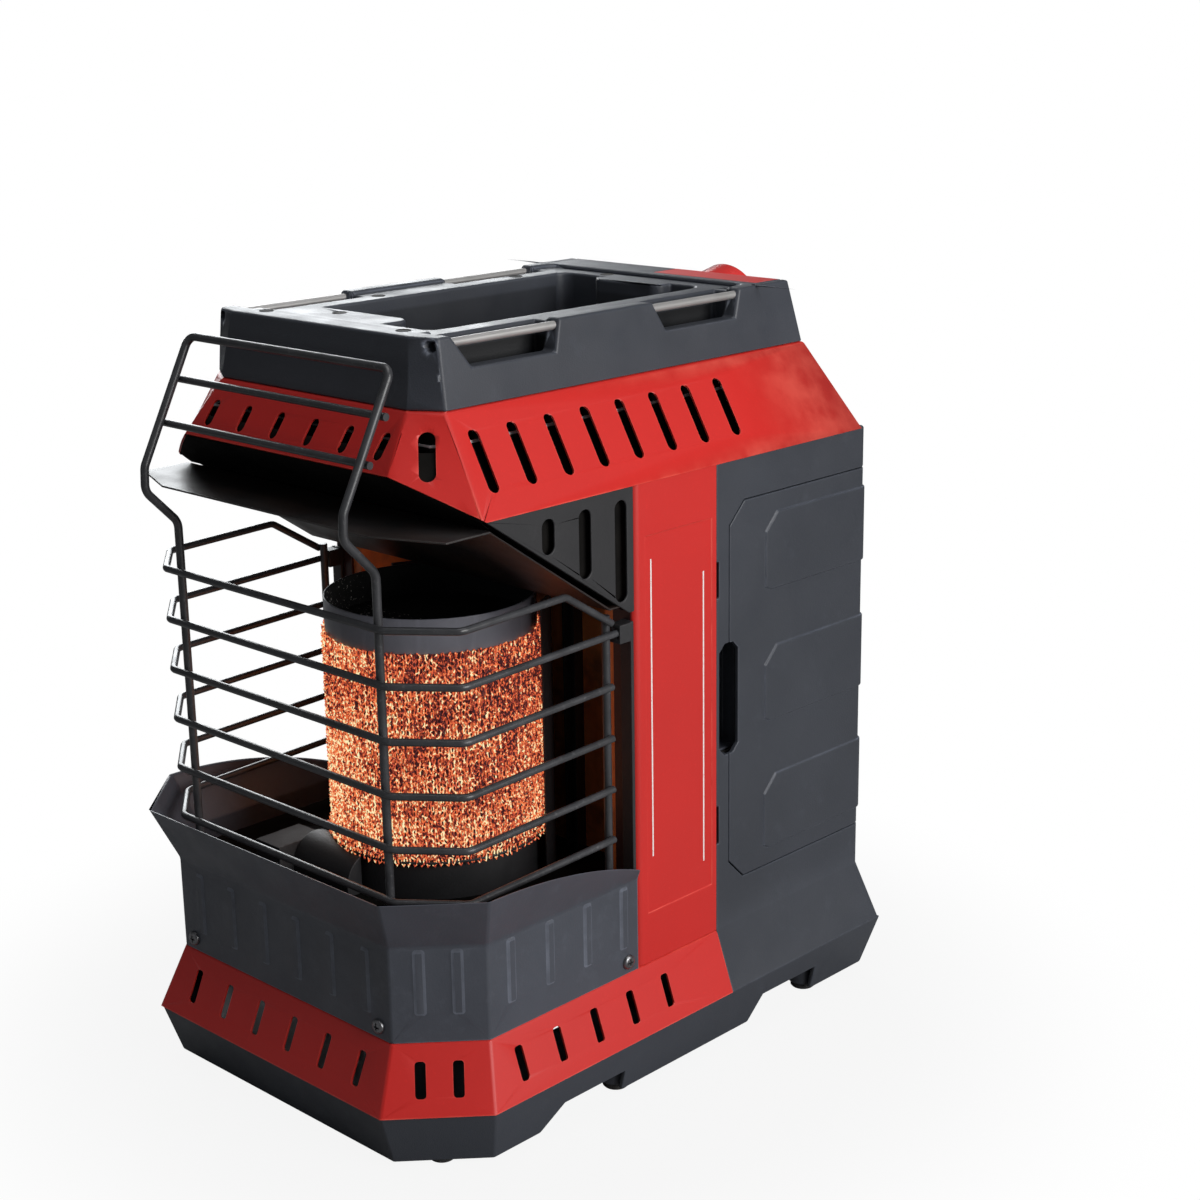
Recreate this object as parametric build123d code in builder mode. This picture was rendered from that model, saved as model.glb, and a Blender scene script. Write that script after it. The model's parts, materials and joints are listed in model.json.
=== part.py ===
"""Portable propane heater: a glowing burner in front, a gas cylinder bay behind.

The heater stands on the floor. The burner faces -Y, the control knob faces +Y, and the
origin is on the floor below the middle of the outline. All sizes are in millimetres.
"""
import os
from math import cos, hypot, radians, sin

from build123d import *

# ---------------------------------------------------------------- plan of the body
HALF_WIDTH = 108.0          # outer face of the side walls
BURNER_ROOM = 130.6         # from the bowl's front wall to the side strips
STRIP_WIDTH = 57.8          # red strip on each side
CASE_LENGTH = 118.2         # from the strips to the rear wall
SKIRT_FLARE_FRONT = 13.5    # how far the skirt's foot stands out in front
SKIRT_FLARE_SIDE = 10.9
CASE_FLARE_REAR = 6.1

DEPTH = SKIRT_FLARE_FRONT + BURNER_ROOM + STRIP_WIDTH + CASE_LENGTH + CASE_FLARE_REAR
FRONT_FOOT_Y = -DEPTH / 2
WALL_FRONT_Y = FRONT_FOOT_Y + SKIRT_FLARE_FRONT
STRIP_FRONT_Y = WALL_FRONT_Y + BURNER_ROOM
STRIP_REAR_Y = STRIP_FRONT_Y + STRIP_WIDTH
CASE_REAR_Y = STRIP_REAR_Y + CASE_LENGTH
REAR_FOOT_Y = CASE_REAR_Y + CASE_FLARE_REAR

# ---------------------------------------------------------------- heights
PAD_HEIGHT = 3.5
BASE_HEIGHT = 26.5
SKIRT_HEIGHT = 30.5
BOWL_WALL_HEIGHT = 46.5
BOWL_FLARE_HEIGHT = 26.3
COLLAR_SIDE_Z = 299.0
COLLAR_HEIGHT = 43.0
COLLAR_FRONT_LIFT = 18.3    # the collar's front edge sits this much above its side edges
TRAY_HEIGHT = 31.2

SKIRT_Z = PAD_HEIGHT + BASE_HEIGHT
WALL_Z = SKIRT_Z + SKIRT_HEIGHT
BEND_Z = WALL_Z + BOWL_WALL_HEIGHT
RIM_Z = BEND_Z + BOWL_FLARE_HEIGHT
COLLAR_TOP_Z = COLLAR_SIDE_Z + COLLAR_HEIGHT
TRAY_TOP_Z = COLLAR_TOP_Z + TRAY_HEIGHT

# ---------------------------------------------------------------- materials' thickness and gaps
SHEET = 1.2                 # pressed steel
PLASTIC = 2.5               # moulded walls
TOUCH = 0.05                # hairline between parts that rest on each other
FIT = 0.3                   # clearance of parts that slide past each other
PIN_FIT = 0.05              # radial running clearance of hinge pins and stems

# A level is a cross-section of the body: side half-width, front y, and the two legs of
# the cut corner, across and along.
CUT_X, CUT_Y = 30.3, 32.5
WALL = (HALF_WIDTH, WALL_FRONT_Y, CUT_X, CUT_Y)


def grown(level, side, front, cut):
    """A level grown sideways and forwards, its cut corners longer but just as steep."""
    return (level[0] + side, level[1] - front, level[2] + cut, level[3] * (1 + cut / level[2]))


def between(low, high, share):
    """The level that lies a share of the way from one level to another."""
    return tuple(a + (b - a) * share for a, b in zip(low, high))


SKIRT_FOOT = grown(WALL, SKIRT_FLARE_SIDE, SKIRT_FLARE_FRONT, 5.0)
BASE_FOOT = grown(WALL, 3.7, 4.2, 0.9)
BASE_RIM = grown(SKIRT_FOOT, -0.6, -0.6, 0)
BOWL_RIM = grown(WALL, 10.5, 10.7, 2.9)
COLLAR_FOOT = grown(WALL, 1.0, -3.4, 1.0)
COLLAR_TOP = (HALF_WIDTH - 28.0, WALL_FRONT_Y + 34.7, 14.9, 9.2)
TRAY_TOP = (COLLAR_TOP[0] - 3.9, COLLAR_TOP[1] + 5.5, 13.9, 4.1)
BASE_FOOT_REAR = REAR_FOOT_Y - 9.0
COLLAR_FOOT_REAR = CASE_REAR_Y - 7.0
COLLAR_TOP_REAR = CASE_REAR_Y - 19.0
TRAY_TOP_REAR = CASE_REAR_Y - 26.0


def inset_level(level, amount):
    """The level drawn in by an amount, square to its walls."""
    side, front, cut_x, cut_y = level
    share = 1 + amount * (hypot(1 / cut_x, 1 / cut_y) - 1 / cut_x - 1 / cut_y)
    return (side - amount, front + amount, cut_x * share, cut_y * share)


def level_points(level, rear, inset=0.0):
    """Corners of a level drawn in by an inset, from the left rear round the front."""
    side, front, cut_x, cut_y = inset_level(level, inset)
    right = [(side - cut_x, front), (side, front + cut_y), (side, rear)]
    return [(-x, y) for x, y in reversed(right)] + right


def draw_level(level, rear, inset=0.0):
    """Face of a level, closed by a straight rear edge."""
    Polygon(*level_points(level, rear, inset), align=None)


def draw_band(level, rear, thickness, inset=0.0):
    """Section of a wall round a level, open behind."""
    inner = level_points(level, rear, inset + thickness)
    Polygon(*level_points(level, rear, inset), *reversed(inner), align=None)


def loft_sections(draw, sections, *sizes, mode=Mode.ADD):
    """Straight-sided solid through sections of (z, level, rear y), each drawn by draw."""
    faces = []
    for z, level, rear in sections:
        with BuildSketch(Plane.XY.offset(z)) as section:
            draw(level, rear, *sizes)
        faces.append(section.sketch.face())
    for i, (low, high) in enumerate(zip(sections, sections[1:])):
        if low[1:] == high[1:]:
            extrude(faces[i], amount=high[0] - low[0], mode=mode)
        else:
            loft(sections=faces[i:i + 2], ruled=True, mode=mode)


def face_plane(low, high, face, side=1):
    """Plane on a wall between two (z, level) pairs: local x along it, local y up it.

    The origin is halfway up, at x = 0 on the front, mid-corner on a corner and y = 0 on a side.
    """
    feet = []
    for z, (half, front, cut_x, cut_y) in (low, high):
        if face == "front":
            feet.append(Vector(0, front, z))
        elif face == "corner":
            feet.append(Vector(side * (half - cut_x / 2), front + cut_y / 2, z))
        else:
            feet.append(Vector(side * half, 0, z))
    along = {
        "front": Vector(1, 0, 0),
        "corner": Vector(low[1][2], side * low[1][3], 0),
        "side": Vector(0, side, 0),
    }[face]
    slope = feet[1] - feet[0]
    return Plane(origin=(feet[0] + feet[1]) / 2, x_dir=along, z_dir=along.cross(slope))


def spread(count, pitch, centre=0.0):
    """Evenly spaced positions about a centre."""
    return [centre + pitch * (i - (count - 1) / 2) for i in range(count)]


def round_bar(points, bend_radius, radius):
    """Round bar along straight runs joined by bends."""
    with BuildLine() as path:
        if len(points) > 2:
            FilletPolyline(*points, radius=bend_radius)
        else:
            Line(*points)
    with BuildSketch(Plane(origin=path.line @ 0, z_dir=path.line % 0)) as end:
        Circle(radius)
    sweep(sections=end.sketch, path=path.line)


def bar_between(start, stop, radius, mode=Mode.ADD):
    """Straight round bar or hole between two points."""
    axis = Vector(*stop) - Vector(*start)
    with BuildSketch(Plane(origin=start, z_dir=axis)) as end:
        Circle(radius)
    extrude(end.sketch, amount=axis.length, mode=mode)


def block(x, y, z, mode=Mode.ADD):
    """Rectangular block given by its (low, high) extents."""
    with BuildSketch(Plane.XY.offset(z[0])) as plan:
        with Locations(((x[0] + x[1]) / 2, (y[0] + y[1]) / 2)):
            Rectangle(x[1] - x[0], y[1] - y[0])
    extrude(plan.sketch, amount=z[1] - z[0], mode=mode)


def profile_across(points, x_low, x_high, mode=Mode.ADD):
    """Side profile of (y, z) points carried across from one x to another."""
    with BuildSketch(Plane.YZ.offset(x_low)) as profile:
        Polygon(*points, align=None)
    extrude(profile.sketch, amount=x_high - x_low, mode=mode)


# ================================================================ base
FLOOR_Z = PAD_HEIGHT + 14.5
FLOOR_THICKNESS = 3.0
FLOOR_TOP_Z = FLOOR_Z + FLOOR_THICKNESS
BASE_WALL = 3.0
PAD_RADIUS = 6.5
STUD_RADIUS = 2.5
STUD_LENGTH = 7.0
FRONT_PAD = (HALF_WIDTH - 19.5, WALL_FRONT_Y + 18.3)
MIDDLE_PAD = (HALF_WIDTH - 6.5, STRIP_FRONT_Y - 10.0)
REAR_PAD = (HALF_WIDTH - 6.5, CASE_REAR_Y - 40.0)
PADS = [(side * x, y) for x, y in (FRONT_PAD, MIDDLE_PAD, REAR_PAD) for side in (-1, 1)]
FRONT_ARCH = (STRIP_FRONT_Y - 71.6, 14.2, MIDDLE_PAD[1] - PAD_RADIUS, 11.0)
REAR_ARCH = (STRIP_REAR_Y + 20.2, 8.7, REAR_PAD[1] - PAD_RADIUS, 13.8)

with BuildPart() as base_tray:
    share = (FLOOR_Z - PAD_HEIGHT) / BASE_HEIGHT
    at_floor = between(BASE_FOOT, BASE_RIM, share)
    floor_rear = BASE_FOOT_REAR + (REAR_FOOT_Y - BASE_FOOT_REAR) * share
    loft_sections(draw_level, [
        (PAD_HEIGHT, BASE_FOOT, BASE_FOOT_REAR),
        (SKIRT_Z, BASE_RIM, REAR_FOOT_Y - 0.6),
    ])
    loft_sections(draw_level, [
        (PAD_HEIGHT, BASE_FOOT, BASE_FOOT_REAR - BASE_WALL),
        (FLOOR_Z, at_floor, floor_rear - BASE_WALL),
    ], BASE_WALL, mode=Mode.SUBTRACT)
    with BuildSketch(Plane.XY.offset(FLOOR_TOP_Z)):
        draw_level(at_floor, floor_rear - BASE_WALL, BASE_WALL)
    extrude(amount=SKIRT_Z - FLOOR_TOP_Z, mode=Mode.SUBTRACT)
    for start, rise, stop, height in (FRONT_ARCH, REAR_ARCH):
        profile_across([
            (start, PAD_HEIGHT - 1), (stop, PAD_HEIGHT - 1), (stop, PAD_HEIGHT + height),
            (start + rise, PAD_HEIGHT + height), (start, PAD_HEIGHT),
        ], -2 * HALF_WIDTH, 2 * HALF_WIDTH, Mode.SUBTRACT)
    with BuildSketch(Plane.XY.offset(PAD_HEIGHT)):
        with Locations(*PADS):
            Circle(PAD_RADIUS + 1.5)
    extrude(amount=FLOOR_Z - PAD_HEIGHT)
    with BuildSketch(Plane.XY.offset(PAD_HEIGHT)):
        with Locations(*PADS):
            Circle(STUD_RADIUS + TOUCH)
    extrude(amount=STUD_LENGTH + 1, mode=Mode.SUBTRACT)
    with BuildSketch(Plane.XY.offset(FLOOR_TOP_Z)):
        with GridLocations(16, 60, 9, 2):
            SlotOverall(34, 6, rotation=90)
    extrude(amount=-FLOOR_THICKNESS, mode=Mode.SUBTRACT)
base_tray.part.label = "base_tray"

with BuildPart() as foot_pads:
    with BuildSketch():
        with Locations(*PADS):
            Circle(PAD_RADIUS)
    extrude(amount=PAD_HEIGHT)
    chamfer(foot_pads.edges().group_by(Axis.Z)[0], 0.8)
    with BuildSketch(Plane.XY.offset(PAD_HEIGHT)):
        with Locations(*PADS):
            Circle(STUD_RADIUS)
    extrude(amount=STUD_LENGTH)
foot_pads.part.label = "foot_pads"

# ================================================================ lower skirt and bowl
SLOT_PITCH = 24.7
SIDE_SLOT_CENTRE = STRIP_FRONT_Y - 34.5
SKIRT_SLOT = (5.0, 16.5)
SLOT_CORNER = 1.6
CORNER_SLOT_PITCH = 17.2
BOWL_RIB = (5.6, 32.0)
RIB_RELIEF = 0.7
TONGUE_HEIGHT = 12.0        # the skirt's inner tongue, which the bowl is screwed to
LEDGE_WIDTH = 2.4
SCREW_Z = WALL_Z + 6.0
SCREW_RADIUS = 2.0
SCREW_LENGTH = 7.0
SCREW_HEAD_RADIUS = 3.6
SCREW_HEAD_HEIGHT = 1.8
FRONT_SCREW_X = HALF_WIDTH - CUT_X - 8.2
SIDE_SCREW_Y = STRIP_FRONT_Y - 7.2
SCREW_PLANES = [
    Plane(origin=(side * FRONT_SCREW_X, WALL_FRONT_Y, SCREW_Z), z_dir=(0, -1, 0)) for side in (1, -1)
] + [
    Plane(origin=(side * HALF_WIDTH, SIDE_SCREW_Y, SCREW_Z), z_dir=(side, 0, 0)) for side in (1, -1)
]
BOWL_SIDE_CURVE = ((0.54, 0.776), (1.0, 0.2))   # side rim: share of the length, share of the flare

with BuildPart() as lower_skirt:
    loft_sections(draw_band, [(SKIRT_Z, SKIRT_FOOT, STRIP_REAR_Y), (WALL_Z, WALL, STRIP_REAR_Y)], SHEET)
    with BuildSketch(Plane.XY.offset(WALL_Z - SHEET)):
        draw_band(WALL, STRIP_REAR_Y, LEDGE_WIDTH)
    extrude(amount=SHEET)
    with BuildSketch(Plane.XY.offset(WALL_Z)):
        draw_band(WALL, STRIP_FRONT_Y, LEDGE_WIDTH - SHEET, SHEET)
    extrude(amount=TONGUE_HEIGHT)
    low, high = (SKIRT_Z, SKIRT_FOOT), (WALL_Z, WALL)
    with BuildSketch(face_plane(low, high, "front")):
        with Locations(*[(x, 0) for x in spread(6, SLOT_PITCH)]):
            RectangleRounded(*SKIRT_SLOT, SLOT_CORNER)
    extrude(amount=6, both=True, mode=Mode.SUBTRACT)
    for side in (1, -1):
        with BuildSketch(face_plane(low, high, "corner", side)):
            with Locations(*[(x, 0) for x in spread(2, CORNER_SLOT_PITCH)]):
                RectangleRounded(*SKIRT_SLOT, SLOT_CORNER)
        extrude(amount=6, both=True, mode=Mode.SUBTRACT)
        with BuildSketch(face_plane(low, high, "side", side)):
            with Locations(*[(side * y, 0) for y in spread(5, SLOT_PITCH, SIDE_SLOT_CENTRE)]):
                RectangleRounded(*SKIRT_SLOT, SLOT_CORNER)
        extrude(amount=6, both=True, mode=Mode.SUBTRACT)
    for plane in SCREW_PLANES:
        with BuildSketch(plane):
            Circle(SCREW_RADIUS + TOUCH)
        extrude(amount=-SCREW_LENGTH, mode=Mode.SUBTRACT)
lower_skirt.part.label = "lower_skirt"

with BuildPart() as burner_bowl:
    loft_sections(draw_band, [
        (WALL_Z, WALL, STRIP_FRONT_Y), (BEND_Z, WALL, STRIP_FRONT_Y), (RIM_Z, BOWL_RIM, STRIP_FRONT_Y),
    ], SHEET)
    rim_start = BOWL_RIM[1] + BOWL_RIM[3]
    with BuildSketch(Plane.YZ):
        with BuildLine():
            curve = ThreePointArc(
                (rim_start, RIM_Z),
                *[
                    (rim_start + (STRIP_FRONT_Y - rim_start) * along, BEND_Z + BOWL_FLARE_HEIGHT * up)
                    for along, up in BOWL_SIDE_CURVE
                ],
            )
            Polyline(
                curve @ 1, (STRIP_FRONT_Y + 10, BEND_Z), (STRIP_FRONT_Y + 10, RIM_Z + 20),
                (rim_start, RIM_Z + 20), curve @ 0,
            )
        make_face()
    extrude(amount=2 * HALF_WIDTH, both=True, mode=Mode.SUBTRACT)
    low, high = (WALL_Z, WALL), (BEND_Z, WALL)
    with BuildSketch(face_plane(low, high, "front")):
        with Locations(*[(x, 3) for x in spread(6, SLOT_PITCH)]):
            RectangleRounded(*BOWL_RIB, SLOT_CORNER)
    extrude(amount=-RIB_RELIEF, mode=Mode.SUBTRACT)
    for side in (1, -1):
        with BuildSketch(face_plane(low, high, "corner", side)):
            with Locations(*[(x, 6) for x in spread(2, CORNER_SLOT_PITCH)]):
                RectangleRounded(*BOWL_RIB, SLOT_CORNER)
        extrude(amount=-RIB_RELIEF, mode=Mode.SUBTRACT)
        with BuildSketch(face_plane(low, high, "side", side)):
            rib_y = spread(4, SLOT_PITCH, SIDE_SLOT_CENTRE - SLOT_PITCH / 2)
            with Locations(*[(side * y, 6) for y in rib_y]):
                RectangleRounded(*BOWL_RIB, SLOT_CORNER)
        extrude(amount=-RIB_RELIEF, mode=Mode.SUBTRACT)
    for plane in SCREW_PLANES:
        with BuildSketch(plane):
            Circle(SCREW_RADIUS + TOUCH)
        extrude(amount=-SCREW_LENGTH, mode=Mode.SUBTRACT)
burner_bowl.part.label = "burner_bowl"

with BuildPart() as bowl_screws:
    for plane in SCREW_PLANES:
        with BuildSketch(plane):
            Circle(SCREW_RADIUS)
        extrude(amount=-SCREW_LENGTH)
        with BuildSketch(plane):
            Circle(SCREW_HEAD_RADIUS)
        extrude(amount=SCREW_HEAD_HEIGHT, taper=12)
        with BuildSketch(plane.offset(SCREW_HEAD_HEIGHT)):
            Rectangle(0.8 * SCREW_HEAD_RADIUS, 0.8)
            Rectangle(0.8, 0.8 * SCREW_HEAD_RADIUS)
        extrude(amount=-1.2, mode=Mode.SUBTRACT)
bowl_screws.part.label = "bowl_screws"

# ================================================================ side strips
STRIP_SHEET = 1.5
STRIP_RETURN = 14.0
STRIP_FOLD_RADIUS = 4.0
LABEL_RELIEF = 0.6
LABEL_MARGIN = (7.6, 3.4)
LABEL_Z = (WALL_Z + 26.0, COLLAR_SIDE_Z - 25.5)

with BuildPart() as right_strip:
    with BuildSketch(Plane.XY.offset(WALL_Z)):
        with Locations((HALF_WIDTH - STRIP_RETURN / 2, (STRIP_FRONT_Y + STRIP_REAR_Y) / 2)):
            Rectangle(STRIP_RETURN, STRIP_WIDTH)
            front_corner = vertices().group_by(Axis.Y)[0].sort_by(Axis.X)[-1]
            fillet(front_corner, STRIP_FOLD_RADIUS)
        with Locations((HALF_WIDTH - STRIP_SHEET - STRIP_RETURN, (STRIP_FRONT_Y + STRIP_REAR_Y) / 2)):
            Rectangle(2 * STRIP_RETURN, STRIP_WIDTH - 2 * STRIP_SHEET, mode=Mode.SUBTRACT)
    extrude(amount=COLLAR_SIDE_Z - WALL_Z)
    block(
        (HALF_WIDTH - LABEL_RELIEF, HALF_WIDTH + 1),
        (STRIP_FRONT_Y + LABEL_MARGIN[0], STRIP_REAR_Y - LABEL_MARGIN[1]), LABEL_Z, Mode.SUBTRACT,
    )
right_strip.part.label = "right_strip"

with BuildPart() as left_strip:
    mirror(right_strip.part, about=Plane.YZ)
left_strip.part.label = "left_strip"

# ================================================================ rear case and doors
BARREL_RADIUS = 6.0
SLEEVE_RADIUS = 7.0
HINGE = (HALF_WIDTH - BARREL_RADIUS, CASE_REAR_Y - BARREL_RADIUS)
PIN_RADIUS = 1.5
PIN_DEPTH = 12.0            # how far a pin reaches into the case and into the door
DOOR_Z = (WALL_Z + 23.3, COLLAR_SIDE_Z - 21.0)
DOOR_FRONT_Y = STRIP_REAR_Y + 9.7
DOOR_GAP = 0.4
DOOR_CORNER = 11.0
DOOR_PANEL_Y = STRIP_REAR_Y + 36.2
DOOR_PANEL_HEIGHT = 38.6
DOOR_PANEL_PITCH = 68.2
DOOR_PANEL_RELIEF = 1.0
NOTCH_Y = (STRIP_REAR_Y + 2.2, STRIP_REAR_Y + 16.2)
NOTCH_Z = (WALL_Z + 91.5, WALL_Z + 148.5)
NOTCH_CORNER = 4.0
CUP_DEPTH = 14.0
CASE_FLANGE = 14.0


def draw_case(half, rear, radius, front):
    """Plan of the rear case: square in front, rounded behind."""
    with Locations((0, (front + rear) / 2)):
        Rectangle(2 * half, rear - front)
    fillet(vertices().group_by(Axis.Y)[-1], radius)


def case_block(inset, z_low, z_high, mode=Mode.ADD):
    """The case's straight body, drawn in by an inset."""
    with BuildSketch(Plane.XY.offset(z_low)) as plan:
        front_y = STRIP_REAR_Y - (1 if inset else 0)
        draw_case(HALF_WIDTH - inset, CASE_REAR_Y - inset, BARREL_RADIUS - inset, front_y)
    extrude(plan.sketch, amount=z_high - z_low, mode=mode)


def case_foot(inset, mode=Mode.ADD):
    """The case's flared foot, drawn in by an inset."""
    faces = []
    for z, side, rear in ((SKIRT_Z, SKIRT_FOOT[0], REAR_FOOT_Y), (WALL_Z, HALF_WIDTH, CASE_REAR_Y)):
        with BuildSketch(Plane.XY.offset(z)) as plan:
            draw_case(side - inset, rear - inset, BARREL_RADIUS - inset, STRIP_REAR_Y - (1 if inset else 0))
        faces.append(plan.sketch.face())
    loft(sections=faces, ruled=True, mode=mode)


def door_outline(gap, rear):
    """Side view of a door as (y, z) points, grown by a gap."""
    front, low, high = DOOR_FRONT_Y - gap, DOOR_Z[0] - gap, DOOR_Z[1] + gap
    return [
        (front + DOOR_CORNER, low), (rear, low), (rear, high), (front + DOOR_CORNER, high),
        (front, high - DOOR_CORNER), (front, low + DOOR_CORNER),
    ]


def notch_outline(y_low, y_high):
    """Side view of the finger notch as (y, z) points."""
    (z_low, z_high), c = NOTCH_Z, NOTCH_CORNER
    return [
        (y_low + c, z_low), (y_high - c, z_low), (y_high, z_low + c),
        (y_high, z_high - c), (y_high - c, z_high),
        (y_low + c, z_high), (y_low, z_high - c), (y_low, z_low + c),
    ]


with BuildPart() as rear_case:
    case_foot(0)
    case_foot(PLASTIC, Mode.SUBTRACT)
    case_block(0, WALL_Z, COLLAR_SIDE_Z)
    case_block(PLASTIC, WALL_Z, COLLAR_SIDE_Z, Mode.SUBTRACT)
    with BuildSketch(Plane.XY.offset(COLLAR_SIDE_Z - PLASTIC)):
        draw_case(HALF_WIDTH, CASE_REAR_Y, BARREL_RADIUS, STRIP_REAR_Y)
        with Locations((0, STRIP_REAR_Y)):
            Rectangle(
                2 * (HALF_WIDTH - CASE_FLANGE), 2 * (CASE_LENGTH - CASE_FLANGE - 6), mode=Mode.SUBTRACT,
            )
    extrude(amount=PLASTIC)
    for side in (1, -1):
        hinge = (side * HINGE[0], HINGE[1])
        cut_from = HINGE[0] - SLEEVE_RADIUS - DOOR_GAP
        x_cut = sorted((side * cut_from, side * 2 * HALF_WIDTH))
        profile_across(door_outline(DOOR_GAP, 2 * CASE_REAR_Y), *x_cut, Mode.SUBTRACT)
        wall_x = sorted((side * (HALF_WIDTH - PLASTIC - 1), side * (HALF_WIDTH + 1)))
        profile_across(notch_outline(NOTCH_Y[0], NOTCH_Y[1] + 20), *wall_x, Mode.SUBTRACT)
        for z in ((WALL_Z, DOOR_Z[0] - DOOR_GAP), (DOOR_Z[1] + DOOR_GAP, COLLAR_SIDE_Z)):
            bar_between((*hinge, z[0]), (*hinge, z[1]), BARREL_RADIUS)
        bar_between(
            (*hinge, DOOR_Z[0] - PIN_DEPTH), (*hinge, DOOR_Z[0]), PIN_RADIUS, Mode.SUBTRACT,
        )
        bar_between(
            (*hinge, DOOR_Z[1]), (*hinge, DOOR_Z[1] + PIN_DEPTH), PIN_RADIUS, Mode.SUBTRACT,
        )
        # cup behind the finger notch: front wall, back wall, end wall, lid and floor
        inner = HALF_WIDTH - PLASTIC
        back = inner - CUP_DEPTH
        front_y, end_y = NOTCH_Y[0] - 1.5, NOTCH_Y[1] + 7
        (z_low, z_high) = (NOTCH_Z[0] - 1.5, NOTCH_Z[1] + 1.5)
        deep_x = sorted((side * back, side * inner))
        shallow_x = sorted((side * back, side * (inner - 5)))
        block(deep_x, (front_y, NOTCH_Y[0]), (z_low, z_high))
        block(sorted((side * back, side * (back + 1.5))), (front_y, end_y), (z_low, z_high))
        block(shallow_x, (end_y - 1.5, end_y), (z_low, z_high))
        for z in ((z_low, z_low + 1.5), (z_high - 1.5, z_high)):
            block(deep_x, (front_y, DOOR_FRONT_Y - DOOR_GAP), z)
            block(shallow_x, (front_y, end_y), z)
        block(
            sorted((side * (back + 1.5), side * (back + 6))), (NOTCH_Y[0] + 5.5, NOTCH_Y[0] + 8.6),
            (NOTCH_Z[0] + 6.6, NOTCH_Z[1] - 5.8),
        )
        for z in ((DOOR_Z[1] - 45, DOOR_Z[1] - 27), (DOOR_Z[0] + 22.8, DOOR_Z[0] + 42.5)):
            block(wall_x, (STRIP_REAR_Y - 1, STRIP_REAR_Y + 1.8), z, Mode.SUBTRACT)
    with BuildSketch(Plane(origin=(0, CASE_REAR_Y, WALL_Z + 40), x_dir=(-1, 0, 0), z_dir=(0, 1, 0))):
        with GridLocations(14, 0, 9, 1):
            SlotOverall(44, 5, rotation=90)
    extrude(amount=-2 * PLASTIC, mode=Mode.SUBTRACT)
    INLET = (-0.65 * HALF_WIDTH, COLLAR_SIDE_Z - 15)
    bar_between(
        (INLET[0], CASE_REAR_Y - 2 * PLASTIC, INLET[1]), (INLET[0], CASE_REAR_Y + 1, INLET[1]),
        6 + TOUCH, Mode.SUBTRACT,
    )
rear_case.part.label = "rear_case"

with BuildPart() as right_door:
    inner = HALF_WIDTH - PLASTIC
    profile_across(door_outline(0, HINGE[1]), inner, HALF_WIDTH)
    profile_across(notch_outline(NOTCH_Y[0] - 20, NOTCH_Y[1]), inner - 1, HALF_WIDTH + 1, Mode.SUBTRACT)
    bar_between((*HINGE, DOOR_Z[0]), (*HINGE, DOOR_Z[1]), BARREL_RADIUS)
    for i in range(3):
        low = DOOR_Z[0] + 9.4 + i * DOOR_PANEL_PITCH
        high = low + DOOR_PANEL_HEIGHT
        profile_across([
            (DOOR_PANEL_Y, low + 2), (DOOR_PANEL_Y + 4, low), (HINGE[1], low), (HINGE[1], high),
            (DOOR_PANEL_Y + 9, high), (DOOR_PANEL_Y, high - 9),
        ], HALF_WIDTH, HALF_WIDTH + DOOR_PANEL_RELIEF)
        bar_between((*HINGE, low), (*HINGE, high), SLEEVE_RADIUS)
    for z in ((DOOR_Z[0] + 2, DOOR_Z[0] + 4), (DOOR_Z[1] - 4, DOOR_Z[1] - 2)):
        block((inner - 4, inner), (DOOR_FRONT_Y + DOOR_CORNER, HINGE[1]), z)
    for z in (DOOR_Z[0], DOOR_Z[1] - PIN_DEPTH):
        bar_between((*HINGE, z), (*HINGE, z + PIN_DEPTH), PIN_RADIUS + PIN_FIT, Mode.SUBTRACT)
right_door.part.label = "right_door"

with BuildPart() as left_door:
    mirror(right_door.part, about=Plane.YZ)
left_door.part.label = "left_door"

with BuildPart() as hinge_pins:
    for side in (1, -1):
        for z in DOOR_Z:
            low, high = z - PIN_DEPTH + 0.5, z + PIN_DEPTH - 0.5
            low, high = (z - PIN_DEPTH, high) if z == DOOR_Z[0] else (low, z + PIN_DEPTH)
            bar_between((side * HINGE[0], HINGE[1], low), (side * HINGE[0], HINGE[1], high), PIN_RADIUS)
hinge_pins.part.label = "hinge_pins"

with BuildPart() as door_catches:
    for side in (1, -1):
        inner = HALF_WIDTH - PLASTIC
        for z in (DOOR_Z[0] + 50, DOOR_Z[1] - 64):
            x = sorted((side * (inner - 8), side * inner))
            block(x, (STRIP_REAR_Y + 2.5, DOOR_FRONT_Y - 1), (z, z + 14))
            block(
                sorted((side * (inner - 8), side * (inner - 4.5))),
                (STRIP_REAR_Y + 2.5, DOOR_FRONT_Y + 9), (z, z + 14),
            )
door_catches.part.label = "door_catches"

# ================================================================ collar
COLLAR_LOW, COLLAR_HIGH = (COLLAR_SIDE_Z, COLLAR_FOOT), (COLLAR_TOP_Z, COLLAR_TOP)
COLLAR_TRIM_Y = COLLAR_FOOT[1] + COLLAR_FOOT[3] + 1.6
COLLAR_TRIM_RUN = 21.9      # the trimmed edge rises over this run
COLLAR_FRONT_PITCH = 24.1
COLLAR_FRONT_SLOT = (13.6, 5.5)
COLLAR_SIDE_PITCH = 22.8
COLLAR_SIDE_SLOT = (30.4, 6.0)
COLLAR_SIDE_CENTRE = STRIP_FRONT_Y + 1.4
COLLAR_CORNER_SLOT = (23.0, 7.5)
SLOT_LEAN = 4.7
LIP_DROP = 3.5              # the dark lip shows this much below the trimmed edge
LINER_SHEET = 1.0
HOOD_DROP = 4.5             # the hood plate's top below the collar's side edge


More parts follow.
